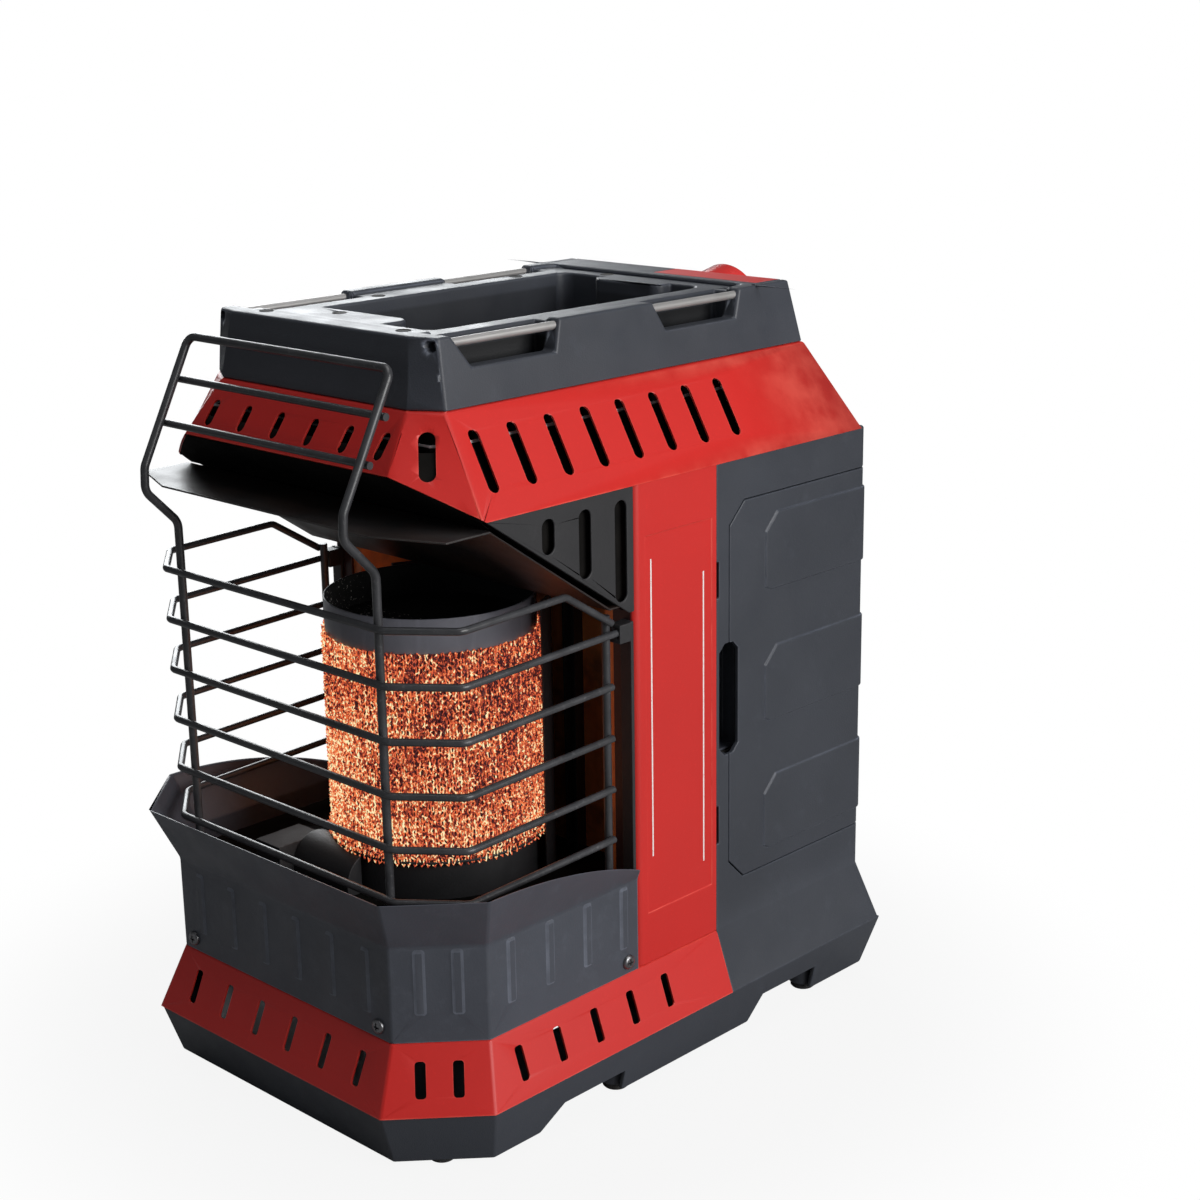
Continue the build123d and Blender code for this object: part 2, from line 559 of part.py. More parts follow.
def trim_front(drop, reach):
    """Cut away what hangs below the collar's rising front edge."""
    run, lift = COLLAR_TRIM_RUN, COLLAR_FRONT_LIFT
    back, down = drop * lift / hypot(run, lift), drop * run / hypot(run, lift)
    y, z = COLLAR_TRIM_Y + back, COLLAR_SIDE_Z - down
    profile_across([
        (y - reach * run, z - 40), (y, z - 40), (y, z), (y - reach * run, z + reach * lift),
    ], -2 * HALF_WIDTH, 2 * HALF_WIDTH, Mode.SUBTRACT)


with BuildPart() as upper_collar:
    loft_sections(draw_level, [
        (COLLAR_SIDE_Z, COLLAR_FOOT, COLLAR_FOOT_REAR), (COLLAR_TOP_Z, COLLAR_TOP, COLLAR_TOP_REAR),
    ])
    loft_sections(draw_level, [
        (COLLAR_SIDE_Z, COLLAR_FOOT, COLLAR_FOOT_REAR - SHEET),
        (COLLAR_TOP_Z, COLLAR_TOP, COLLAR_TOP_REAR - SHEET),
    ], SHEET, mode=Mode.SUBTRACT)
    trim_front(0, 3)
    with BuildSketch(face_plane(COLLAR_LOW, COLLAR_HIGH, "front")):
        with Locations(*[(x, 8.9) for x in spread(6, COLLAR_FRONT_PITCH)]):
            SlotOverall(*COLLAR_FRONT_SLOT, rotation=90)
    extrude(amount=6, both=True, mode=Mode.SUBTRACT)
    for side in (1, -1):
        with BuildSketch(face_plane(COLLAR_LOW, COLLAR_HIGH, "corner", side)):
            with Locations((0, 5)):
                SlotOverall(*COLLAR_CORNER_SLOT, rotation=90)
        extrude(amount=8, both=True, mode=Mode.SUBTRACT)
        with BuildSketch(face_plane(COLLAR_LOW, COLLAR_HIGH, "side", side)):
            with Locations(*[(side * y, 1) for y in spread(8, COLLAR_SIDE_PITCH, COLLAR_SIDE_CENTRE)]):
                SlotOverall(*COLLAR_SIDE_SLOT, rotation=90 - side * SLOT_LEAN)
        extrude(amount=6, both=True, mode=Mode.SUBTRACT)
upper_collar.part.label = "upper_collar"

def trim_line(drop, z):
    """Where the line below the collar's rising front edge passes a height, as (y, z)."""
    run, lift = COLLAR_TRIM_RUN, COLLAR_FRONT_LIFT
    start_y = COLLAR_TRIM_Y + drop * lift / hypot(run, lift)
    start_z = COLLAR_SIDE_Z - drop * run / hypot(run, lift)
    return start_y - (z - start_z) * run / lift, z


LINER_SECTIONS = [
    (COLLAR_SIDE_Z + COLLAR_HEIGHT * share, between(COLLAR_FOOT, COLLAR_TOP, share), COLLAR_TRIM_Y + 8)
    for share in (0.0, 0.62)
]

with BuildPart() as liner_floor:
    loft_sections(draw_level, LINER_SECTIONS, SHEET + 3 * TOUCH)
    top_z = LINER_SECTIONS[1][0]
    profile_across([
        trim_line(LIP_DROP, COLLAR_SIDE_Z), trim_line(LIP_DROP, top_z),
        trim_line(LIP_DROP - LINER_SHEET, top_z), trim_line(LIP_DROP - LINER_SHEET, COLLAR_SIDE_Z),
    ], -HALF_WIDTH, HALF_WIDTH, Mode.INTERSECT)
    tail_z = COLLAR_SIDE_Z - HOOD_DROP + TOUCH
    profile_across([
        trim_line(LIP_DROP, COLLAR_SIDE_Z), trim_line(LIP_DROP - LINER_SHEET, COLLAR_SIDE_Z),
        trim_line(LIP_DROP - LINER_SHEET, tail_z), trim_line(LIP_DROP, tail_z),
    ], 2 - HALF_WIDTH, HALF_WIDTH - 2)

with BuildPart() as collar_liner:
    loft_sections(draw_band, LINER_SECTIONS, LINER_SHEET, SHEET + 3 * TOUCH)
    trim_front(LIP_DROP, 3)
    add(liner_floor.part)
collar_liner.part.label = "collar_liner"

# ================================================================ top tray and its rods
SHELF_DROP = 2.0
SHELF_MARGIN = 8.5
WELL_Z = COLLAR_TOP_Z + 3.0
WELL_HALF = 47.5
WELL_Y = (TRAY_TOP[1] + 25.4, CASE_REAR_Y - 60.0)
FRONT_LEDGE = (WELL_HALF / 3, WELL_Y[0] + 18.0)                     # (right end, rear edge)
REAR_LEDGE = (-WELL_HALF * 0.4, WELL_HALF * 0.57, WELL_Y[1] - 10.0)    # (left, right, front edge)
CONTROL_Y = CASE_REAR_Y - 58.0
DECK_Y = CONTROL_Y + 8.0
DECK_DEPTH = 8.2            # the rear deck's thickness in front of the valve's room
SHELF_FRONT_Y = TRAY_TOP[1] + 15.4
HOLE_RADIUS = 2.2
HOLE_DEPTH = 3.5
RIM_HOLES = ((-48.0, TRAY_TOP[1] + 9.6), (48.0, TRAY_TOP[1] + 9.6))
SHELF_HOLES = (
    (-WELL_HALF * 0.56, WELL_Y[0] + 10.0), (-WELL_HALF - 8.5, STRIP_FRONT_Y - 6.0),
    (-WELL_HALF - 7.5, CONTROL_Y - 31.0), (-WELL_HALF * 0.47, CONTROL_Y + 3.5),
)
ROD_RADIUS = 2.0
ROD_X = TRAY_TOP[0] - 3.1
ROD_Z = TRAY_TOP_Z - 3.4
ROD_Y = (TRAY_TOP[1] + 7.0, CASE_REAR_Y - 57.0)
NOTCHES = (             # (top y range, bottom y range, depth) of the side openings
    ((TRAY_TOP[1] + 11.1, STRIP_FRONT_Y - 12.8), (TRAY_TOP[1] + 22.4, STRIP_FRONT_Y - 17.5), 14.5),
    ((STRIP_REAR_Y - 9.3, CONTROL_Y - 6.0), (STRIP_REAR_Y - 0.8, CONTROL_Y - 11.7), 13.9),
)
FINGER_SLOT_X = (60.0, 69.0)
TRAY_WALL = 3.0
VALVE_AXIS = Vector(0, TRAY_HEIGHT, COLLAR_TOP_REAR - TRAY_TOP_REAR).normalized()
VALVE_RISE = 8.5            # the knob's axis above the collar
VALVE_X = HALF_WIDTH / 6
VALVE_POINT = Vector(
    VALVE_X, COLLAR_TOP_REAR - (COLLAR_TOP_REAR - TRAY_TOP_REAR) * VALVE_RISE / TRAY_HEIGHT,
    COLLAR_TOP_Z + VALVE_RISE,
)
KNOB_PLANE = Plane(origin=VALVE_POINT, x_dir=(1, 0, 0), z_dir=VALVE_AXIS)
STEM_RADIUS = 4.0
VALVE_FACE = 3.6            # the valve's front face behind the tray's rear face
COVER_SHEET = 2.5
PANEL_SHEET = 1.2
PANEL_X = (1.0, 70.0)
PANEL_FRONT_Y = TRAY_TOP_REAR - 18.0
PANEL_FOOT_Z = COLLAR_TOP_Z + 1.5


def rear_y(z, inset=0.0):
    """Where the tray's rear face stands at a height, drawn in by an inset."""
    share = (z - COLLAR_TOP_Z) / TRAY_HEIGHT
    return COLLAR_TOP_REAR + (TRAY_TOP_REAR - COLLAR_TOP_REAR) * share - inset / VALVE_AXIS.Y


def panel_profile(thickness, lift=0.0):
    """Side view of the bent control panel as (y, z) points."""
    return [
        (PANEL_FRONT_Y, TRAY_TOP_Z - thickness),
        (rear_y(TRAY_TOP_Z - thickness, thickness), TRAY_TOP_Z - thickness),
        (rear_y(PANEL_FOOT_Z, thickness), PANEL_FOOT_Z), (rear_y(PANEL_FOOT_Z, -lift), PANEL_FOOT_Z),
        (rear_y(TRAY_TOP_Z, -lift), TRAY_TOP_Z + lift), (PANEL_FRONT_Y, TRAY_TOP_Z + lift),
    ]


with BuildPart() as top_tray:
    loft_sections(draw_level, [
        (COLLAR_TOP_Z, COLLAR_TOP, COLLAR_TOP_REAR), (TRAY_TOP_Z, TRAY_TOP, TRAY_TOP_REAR),
    ])
    with BuildSketch(Plane.XY.offset(TRAY_TOP_Z)):
        with Locations((0, (SHELF_FRONT_Y + DECK_Y) / 2)):
            RectangleRounded(2 * (TRAY_TOP[0] - SHELF_MARGIN), DECK_Y - SHELF_FRONT_Y, 6)
    extrude(amount=-SHELF_DROP, mode=Mode.SUBTRACT)
    with BuildSketch(Plane.XY.offset(WELL_Z)):
        with Locations((0, sum(WELL_Y) / 2)):
            RectangleRounded(2 * WELL_HALF, WELL_Y[1] - WELL_Y[0], 7)
        with Locations((FRONT_LEDGE[0] - WELL_HALF, FRONT_LEDGE[1] - 20)):
            RectangleRounded(2 * WELL_HALF, 40, 8, mode=Mode.SUBTRACT)
        with Locations((sum(REAR_LEDGE[:2]) / 2, REAR_LEDGE[2] + 15)):
            RectangleRounded(REAR_LEDGE[1] - REAR_LEDGE[0], 30, 6, mode=Mode.SUBTRACT)
    extrude(amount=TRAY_HEIGHT, mode=Mode.SUBTRACT)
    for z, spots in ((TRAY_TOP_Z, RIM_HOLES), (TRAY_TOP_Z - SHELF_DROP, SHELF_HOLES)):
        with BuildSketch(Plane.XY.offset(z)):
            with Locations(*spots):
                Circle(HOLE_RADIUS)
        extrude(amount=-HOLE_DEPTH, mode=Mode.SUBTRACT)
    with BuildSketch(Plane.XY.offset(COLLAR_TOP_Z)):
        with Locations((WELL_HALF * 0.7, WELL_Y[0] + 9), (0, 0), (-WELL_HALF * 0.7, WELL_Y[1] - 9)):
            Circle(3.5)
    extrude(amount=10, mode=Mode.SUBTRACT)
    for side in (1, -1):
        for top_y, foot_y, depth in NOTCHES:
            x = sorted((side * FINGER_SLOT_X[1], side * HALF_WIDTH))
            profile_across([
                (foot_y[0], TRAY_TOP_Z - depth), (foot_y[1], TRAY_TOP_Z - depth),
                (top_y[1], TRAY_TOP_Z + 1), (top_y[0], TRAY_TOP_Z + 1),
            ], *x, Mode.SUBTRACT)
            x = sorted(side * v for v in FINGER_SLOT_X)
            block(x, top_y, (COLLAR_TOP_Z + 6, TRAY_TOP_Z + 1), Mode.SUBTRACT)
            x = sorted((side * (WELL_HALF + TRAY_WALL), side * (FINGER_SLOT_X[0] - TRAY_WALL)))
            block(
                x, (top_y[0] + 4, top_y[1] - 4), (COLLAR_TOP_Z, TRAY_TOP_Z - SHELF_DROP - TRAY_WALL),
                Mode.SUBTRACT,
            )
        rod_front = (side * ROD_X, ROD_Y[0], ROD_Z)
        bar_between(rod_front, (side * ROD_X, ROD_Y[1], ROD_Z), ROD_RADIUS, Mode.SUBTRACT)
        bar_between((side * ROD_X, TRAY_TOP[1] - 2, ROD_Z), rod_front, 3.0, Mode.SUBTRACT)
    # room for the valve, closed above by the control cover
    profile_across([
        (CONTROL_Y + TRAY_WALL, COLLAR_TOP_Z - 1), (rear_y(COLLAR_TOP_Z - 1, VALVE_FACE), COLLAR_TOP_Z - 1),
        (rear_y(TRAY_TOP_Z + 1, VALVE_FACE), TRAY_TOP_Z + 1), (DECK_Y + TRAY_WALL, TRAY_TOP_Z + 1),
        (DECK_Y + TRAY_WALL, TRAY_TOP_Z - DECK_DEPTH), (CONTROL_Y + TRAY_WALL, TRAY_TOP_Z - DECK_DEPTH),
    ], -FINGER_SLOT_X[1] + 1, FINGER_SLOT_X[1] - 1, Mode.SUBTRACT)
    block(
        (-FINGER_SLOT_X[1] - 2, FINGER_SLOT_X[1] + 2), (DECK_Y, TRAY_TOP_REAR + 2),
        (TRAY_TOP_Z - COVER_SHEET, TRAY_TOP_Z + 1), Mode.SUBTRACT,
    )
    profile_across(panel_profile(PANEL_SHEET, 2), *PANEL_X, Mode.SUBTRACT)
    with BuildSketch(KNOB_PLANE):
        Circle(STEM_RADIUS + FIT)
    extrude(amount=-12, mode=Mode.SUBTRACT)
top_tray.part.label = "top_tray"

with BuildPart() as right_side_rod:
    bar_between((ROD_X, ROD_Y[0], ROD_Z), (ROD_X, ROD_Y[1], ROD_Z), ROD_RADIUS)
    chamfer(right_side_rod.edges().group_by(Axis.Y)[0], 0.4)
right_side_rod.part.label = "right_side_rod"

with BuildPart() as left_side_rod:
    mirror(right_side_rod.part, about=Plane.YZ)
left_side_rod.part.label = "left_side_rod"

with BuildPart() as control_cover:
    profile_across([
        (DECK_Y, TRAY_TOP_Z - COVER_SHEET), (rear_y(TRAY_TOP_Z - COVER_SHEET), TRAY_TOP_Z - COVER_SHEET),
        (rear_y(TRAY_TOP_Z), TRAY_TOP_Z), (DECK_Y + 1, TRAY_TOP_Z), (DECK_Y, TRAY_TOP_Z - 1),
    ], -FINGER_SLOT_X[1] - 2, FINGER_SLOT_X[1] + 2)
    profile_across(panel_profile(PANEL_SHEET, 2), *PANEL_X, Mode.SUBTRACT)
control_cover.part.label = "control_cover"

with BuildPart() as control_panel:
    profile_across(panel_profile(PANEL_SHEET), *PANEL_X)
    with BuildSketch(KNOB_PLANE):
        Circle(STEM_RADIUS + FIT)
    extrude(amount=-6, mode=Mode.SUBTRACT)
control_panel.part.label = "control_panel"

# ================================================================ knob and gas valve
KNOB_RADIUS = 21.0
KNOB_HEIGHT = 14.8
KNOB_STANDOFF = 4.2
KNOB_GRIP = 9.0
KNOB_RIM = 2.2
KNOB_RECESS = 7.0
HUB_DEPTH = 9.0
VALVE_RADIUS = 11.0
VALVE_LENGTH = 22.0

with BuildPart() as control_knob:
    with BuildSketch(KNOB_PLANE.offset(KNOB_STANDOFF)):
        Circle(KNOB_RADIUS)
    extrude(amount=KNOB_HEIGHT)
    with BuildSketch(KNOB_PLANE.offset(KNOB_STANDOFF + KNOB_HEIGHT)):
        Circle(KNOB_RADIUS - KNOB_RIM)
        Rectangle(2 * KNOB_RADIUS, KNOB_GRIP, mode=Mode.SUBTRACT)
    extrude(amount=-KNOB_RECESS, mode=Mode.SUBTRACT)
    with BuildSketch(KNOB_PLANE.offset(KNOB_STANDOFF)):
        Circle(STEM_RADIUS + PIN_FIT)
    extrude(amount=HUB_DEPTH, mode=Mode.SUBTRACT)
    with BuildSketch(KNOB_PLANE.offset(KNOB_STANDOFF)):
        Circle(KNOB_RADIUS - 3)
        Circle(STEM_RADIUS + 3, mode=Mode.SUBTRACT)
    extrude(amount=4, mode=Mode.SUBTRACT)
    with BuildSketch(KNOB_PLANE.offset(KNOB_STANDOFF + KNOB_HEIGHT)):
        with Locations((-KNOB_RADIUS / 2, 0)):
            SlotOverall(KNOB_RADIUS / 2, 1.8)
    extrude(amount=-0.6, mode=Mode.SUBTRACT)
control_knob.part.label = "control_knob"

with BuildPart() as valve_stem:
    with BuildSketch(KNOB_PLANE.offset(KNOB_STANDOFF + HUB_DEPTH - PIN_FIT)):
        Circle(STEM_RADIUS)
    extrude(amount=-(KNOB_STANDOFF + HUB_DEPTH + 12))
valve_stem.part.label = "valve_stem"

with BuildPart() as gas_valve:
    with BuildSketch(KNOB_PLANE.offset(-VALVE_FACE)):
        Circle(VALVE_RADIUS - 2)
    extrude(amount=-4)
    with BuildSketch(KNOB_PLANE.offset(-VALVE_FACE - 4)):
        Circle(VALVE_RADIUS)
    extrude(amount=-(VALVE_LENGTH - 4))
    with BuildSketch(KNOB_PLANE.offset(-VALVE_FACE - 12)):
        Rectangle(24, 14)
        with Locations((0, 7)):
            Rectangle(12, 12)
    extrude(amount=-12)
    with BuildSketch(KNOB_PLANE):
        Circle(STEM_RADIUS + PIN_FIT)
    extrude(amount=-16, mode=Mode.SUBTRACT)
gas_valve.part.label = "gas_valve"

with BuildPart() as piezo_igniter:
    with BuildSketch(KNOB_PLANE.offset(-VALVE_FACE - 4)):
        with Locations((VALVE_RADIUS + 8.5, 0)):
            Circle(7)
    extrude(amount=-(VALVE_LENGTH + 2))
    with BuildSketch(KNOB_PLANE.offset(-VALVE_FACE)):
        with Locations((VALVE_RADIUS + 8.5, 0)):
            Circle(4)
    extrude(amount=-4)
piezo_igniter.part.label = "piezo_igniter"

# ================================================================ bulkhead and burner chamber
BULKHEAD_Y = (STRIP_FRONT_Y + 33.0, STRIP_FRONT_Y + 34.5)
CHAMBER_Z = BEND_Z - 11.5
CHAMBER_SHEET = 1.2
CHAMBER_TOP_Z = CHAMBER_Z + CHAMBER_SHEET
BURNER_Y = STRIP_FRONT_Y - 29.0
MESH_RADIUS = 53.5
MESH_Z = (CHAMBER_TOP_Z + 20.3, CHAMBER_TOP_Z + 122.8)
CAP_HEIGHT = 17.0
CORE_RADIUS = MESH_RADIUS - 4.5
SHIELD_RADIUS = MESH_RADIUS + 4.0
SHIELD_SETBACK = 0.385       # the shield's front edges behind the burner's axis, in shield radii
DEFLECTOR_Z = COLLAR_SIDE_Z - 55.0
DEFLECTOR_SHEET = 1.0
TUBE_RADIUS = 10.0
TUBE_Z = CHAMBER_Z - 17.5
BOX_RADIUS = 30.0
PIPE_RADIUS = 3.0
PILOT_PIPE_RADIUS = 1.6
FEED_Y = STRIP_FRONT_Y + 54.0
PILOT_X = 46.0

with BuildPart() as bulkhead:
    half = HALF_WIDTH - STRIP_SHEET
    block((-half, half), BULKHEAD_Y, (WALL_Z, COLLAR_SIDE_Z))
    foot = HALF_WIDTH - LEDGE_WIDTH - TOUCH
    block((-foot, foot), BULKHEAD_Y, (FLOOR_TOP_Z, WALL_Z))
    bar_between(
        (0, BULKHEAD_Y[0] - 1, TUBE_Z), (0, BULKHEAD_Y[1] + 1, TUBE_Z), TUBE_RADIUS + TOUCH, Mode.SUBTRACT,
    )
    pipe_z = CHAMBER_Z - 7.5
    bar_between(
        (PILOT_X, BULKHEAD_Y[0] - 1, pipe_z), (PILOT_X, BULKHEAD_Y[1] + 1, pipe_z),
        PILOT_PIPE_RADIUS + 1, Mode.SUBTRACT,
    )
    with BuildSketch(Plane(origin=(0, BULKHEAD_Y[0], (FLOOR_TOP_Z + WALL_Z) / 2), z_dir=(0, -1, 0))):
        with GridLocations(30, 0, 6, 1):
            SlotOverall(20, 8)
    extrude(amount=5, both=True, mode=Mode.SUBTRACT)
bulkhead.part.label = "bulkhead"

with BuildPart() as chamber_floor:
    with BuildSketch(Plane.XY.offset(CHAMBER_Z)):
        draw_level(WALL, STRIP_FRONT_Y, SHEET)
        with Locations((0, (STRIP_FRONT_Y - 5 + BULKHEAD_Y[0]) / 2)):
            Rectangle(2 * (HALF_WIDTH - STRIP_RETURN - 0.5), BULKHEAD_Y[0] - STRIP_FRONT_Y + 5)
        with Locations((0, BURNER_Y)):
            Circle(BOX_RADIUS - 1.5, mode=Mode.SUBTRACT)
        with Locations((-20, WALL_FRONT_Y + 44.6)):
            Circle(PILOT_PIPE_RADIUS + 0.5, mode=Mode.SUBTRACT)
    extrude(amount=CHAMBER_SHEET)
chamber_floor.part.label = "chamber_floor"

REFLECTOR_PLAN = [
    (HALF_WIDTH - 4, STRIP_FRONT_Y + STRIP_SHEET), (HALF_WIDTH - 20, STRIP_FRONT_Y + STRIP_SHEET),
    (HALF_WIDTH - 42, BULKHEAD_Y[0] - 2),
]
with BuildPart() as reflector:
    front_line = [(-x, y) for x, y in REFLECTOR_PLAN] + REFLECTOR_PLAN[::-1]
    back_line = [(x, y + 0.8) for x, y in reversed(front_line)]
    with BuildSketch(Plane.XY.offset(CHAMBER_TOP_Z)):
        Polygon(*front_line, *back_line, align=None)
    extrude(amount=DEFLECTOR_Z - DEFLECTOR_SHEET - CHAMBER_TOP_Z)
reflector.part.label = "reflector"

with BuildPart() as reflector_channels:
    for side in (1, -1):
        x = sorted((side * 36, side * 44))
        block(x, (BULKHEAD_Y[0] - 8, BULKHEAD_Y[0] - 2), (CHAMBER_TOP_Z, DEFLECTOR_Z - 15))
        block(
            (x[0] + 1.2, x[1] - 1.2), (BULKHEAD_Y[0] - 9, BULKHEAD_Y[0] - 3.2),
            (CHAMBER_TOP_Z - 1, DEFLECTOR_Z), Mode.SUBTRACT,
        )
reflector_channels.part.label = "reflector_channels"


def burner_ring(outer, inner, z_low, z_high, mode=Mode.ADD):
    """Ring about the burner's upright axis."""
    with BuildSketch(Plane.XY.offset(z_low)) as ring:
        with Locations((0, BURNER_Y)):
            Circle(outer)
            if inner:
                Circle(inner, mode=Mode.SUBTRACT)
    extrude(ring.sketch, amount=z_high - z_low, mode=mode)


with BuildPart() as burner_plenum:
    burner_ring(MESH_RADIUS - 1.5, MESH_RADIUS - 4, CHAMBER_TOP_Z, MESH_Z[0] - 1.5)
    burner_ring(MESH_RADIUS + 0.5, MESH_RADIUS - 8, MESH_Z[0] - 1.5, MESH_Z[0])
burner_plenum.part.label = "burner_plenum"

with BuildPart() as burner_core:
    burner_ring(CORE_RADIUS, CORE_RADIUS - 1, *MESH_Z)
    hole_rows = 7
    for i in range(hole_rows):
        z = MESH_Z[0] + (MESH_Z[1] - MESH_Z[0]) * (i + 0.5) / hole_rows
        for angle in range(0, 180, 15):
            reach = Vector(cos(radians(angle)), sin(radians(angle)), 0) * (CORE_RADIUS + 2)
            middle = Vector(0, BURNER_Y, z)
            bar_between(tuple(middle - reach), tuple(middle + reach), 2.5, Mode.SUBTRACT)
burner_core.part.label = "burner_core"

with BuildPart() as burner_mesh:
    burner_ring(MESH_RADIUS, CORE_RADIUS + TOUCH, *MESH_Z)
burner_mesh.part.label = "burner_mesh"

with BuildPart() as burner_cap:
    burner_ring(MESH_RADIUS - 2, MESH_RADIUS - 3.2, MESH_Z[1], MESH_Z[1] + CAP_HEIGHT)
    burner_ring(MESH_RADIUS - 2, 0, MESH_Z[1], MESH_Z[1] + 1.2)
burner_cap.part.label = "burner_cap"

with BuildPart() as burner_shield:
    burner_ring(SHIELD_RADIUS + 0.8, SHIELD_RADIUS, CHAMBER_TOP_Z, MESH_Z[1] + CAP_HEIGHT - 0.5)
    reach = SHIELD_RADIUS + 2
    block(
        (-reach, reach), (BURNER_Y - reach, BURNER_Y + SHIELD_SETBACK * SHIELD_RADIUS),
        (CHAMBER_Z, DEFLECTOR_Z), Mode.SUBTRACT,
    )
burner_shield.part.label = "burner_shield"

with BuildPart() as mixing_tube:
    burner_ring(BOX_RADIUS, 0, TUBE_Z - 14, CHAMBER_Z)
    bar_between((0, BURNER_Y, TUBE_Z), (0, BULKHEAD_Y[1] + 10.5, TUBE_Z), TUBE_RADIUS)
    burner_ring(BOX_RADIUS - 1.5, 0, TUBE_Z - 12.5, CHAMBER_Z, Mode.SUBTRACT)
    bar_between((0, BURNER_Y, TUBE_Z), (0, BULKHEAD_Y[1] + 11, TUBE_Z), TUBE_RADIUS - 1.5, Mode.SUBTRACT)
mixing_tube.part.label = "mixing_tube"

with BuildPart() as orifice_holder:
    block((-12, 12), (FEED_Y - 5, FEED_Y + 5), (TUBE_Z - 8, TUBE_Z + 8))
    for side in (1, -1):
        block(sorted((side * 12, side * 14)), (BULKHEAD_Y[1], FEED_Y + 5), (TUBE_Z - 8, TUBE_Z + 8))
    bar_between((0, FEED_Y - 5, TUBE_Z), (0, BULKHEAD_Y[1] + 7, TUBE_Z), 3)
    bar_between((0, FEED_Y - 4, TUBE_Z), (0, BULKHEAD_Y[1] + 6, TUBE_Z), 0.8, Mode.SUBTRACT)
orifice_holder.part.label = "orifice_holder"

# ================================================================ pilot
HOOD_Y = WALL_FRONT_Y + 52.6
HOOD_Z = CHAMBER_TOP_Z + 5.8
HOOD_RADIUS = 14.0
HOOD_X = (-37.5, 4.0)
HOOD_SHEET = 0.8
PILOT_Y = HOOD_Y - 8.0


def clear_of_burner():
    """Cut away what would stand inside the burner's base."""
    burner_ring(MESH_RADIUS + 0.5 + TOUCH, 0, CHAMBER_Z, MESH_Z[1], Mode.SUBTRACT)


with BuildPart() as pilot_hood:
    for radius, mode in ((HOOD_RADIUS, Mode.ADD), (HOOD_RADIUS - HOOD_SHEET, Mode.SUBTRACT)):
        stop = HOOD_X[1] if mode == Mode.ADD else HOOD_X[1] - HOOD_SHEET
        with BuildSketch(Plane.YZ.offset(HOOD_X[0])):
            with Locations((HOOD_Y, HOOD_Z)):
                Circle(radius)
            with Locations((HOOD_Y, HOOD_Z - radius / 2)):
                Rectangle(2 * radius, radius)
            with Locations((HOOD_Y, CHAMBER_TOP_Z - 20)):
                Rectangle(4 * radius, 40, mode=Mode.SUBTRACT)
        extrude(amount=stop - HOOD_X[0], mode=mode)
    clear_of_burner()
pilot_hood.part.label = "pilot_hood"

with BuildPart() as pilot_bracket:
    plate_z = CHAMBER_TOP_Z + 6.0
    block((HOOD_X[0] - 33.5, HOOD_X[0]), (HOOD_Y - 9, HOOD_Y + 21), (plate_z, plate_z + 1.2))
    block((HOOD_X[0] - 33.5, HOOD_X[0] - 32.3), (HOOD_Y - 9, HOOD_Y + 21), (CHAMBER_TOP_Z, plate_z))
    block((HOOD_X[0] - 1.2, HOOD_X[0]), (HOOD_Y - 9, HOOD_Y + 21), (CHAMBER_TOP_Z, plate_z))
    clear_of_burner()
pilot_bracket.part.label = "pilot_bracket"

with BuildPart() as pilot_burner:
    bar_between((-20, PILOT_Y, CHAMBER_TOP_Z), (-20, PILOT_Y, HOOD_Z + 3), 3.2)
    bar_between((-20, PILOT_Y, HOOD_Z + 3), (-20, PILOT_Y, HOOD_Z + 6), 2.2)
    bar_between((-20, PILOT_Y, HOOD_Z + 1), (-20, PILOT_Y, HOOD_Z + 7), 0.8, Mode.SUBTRACT)
pilot_burner.part.label = "pilot_burner"

with BuildPart() as thermocouple:
    lead_z = CHAMBER_TOP_Z + 6.0 + 1.2 + 2.0
    round_bar([
        (HOOD_X[0] - 26, HOOD_Y + 14, CHAMBER_TOP_Z + 7.2), (HOOD_X[0] - 26, HOOD_Y + 14, lead_z + 6),
        (HOOD_X[0] - 26, HOOD_Y - 4, lead_z + 6), (-26, HOOD_Y - 4, lead_z + 6),
    ], 3, 1.6)
thermocouple.part.label = "thermocouple"

with BuildPart() as igniter_electrode:
    rod_z = CHAMBER_TOP_Z + 7.2 + 2.5
    bar_between((HOOD_X[0] - 30, HOOD_Y - 5, rod_z), (HOOD_X[0] + 4, HOOD_Y - 5, rod_z), 2.5)
    bar_between((HOOD_X[0] + 4, HOOD_Y - 5, rod_z), (-26, HOOD_Y - 5, rod_z), 0.8)
igniter_electrode.part.label = "igniter_electrode"

# ================================================================ deflector and cheeks
CHEEK_SHEET = 1.2
CHEEK_FRONT = (COLLAR_TRIM_Y + 1.3, COLLAR_SIDE_Z - 0.5)
CHEEK_REAR = (STRIP_FRONT_Y - 3.3, DEFLECTOR_Z - 4.3)
CHEEK_SLOTS = ((-54.3, 16.2), (-31.4, 31.8), (-8.3, 47.6))
DEFLECTOR_PLAN = [
    (HALF_WIDTH, COLLAR_TRIM_Y + 3.5), (HALF_WIDTH, WALL_FRONT_Y + 16.6), (74.1, WALL_FRONT_Y + 2.9),
]
DEFLECTOR_FRONT_Z = COLLAR_SIDE_Z - HOOD_DROP - DEFLECTOR_SHEET
DEFLECTOR_BEND = (STRIP_FRONT_Y - 15, DEFLECTOR_Z)

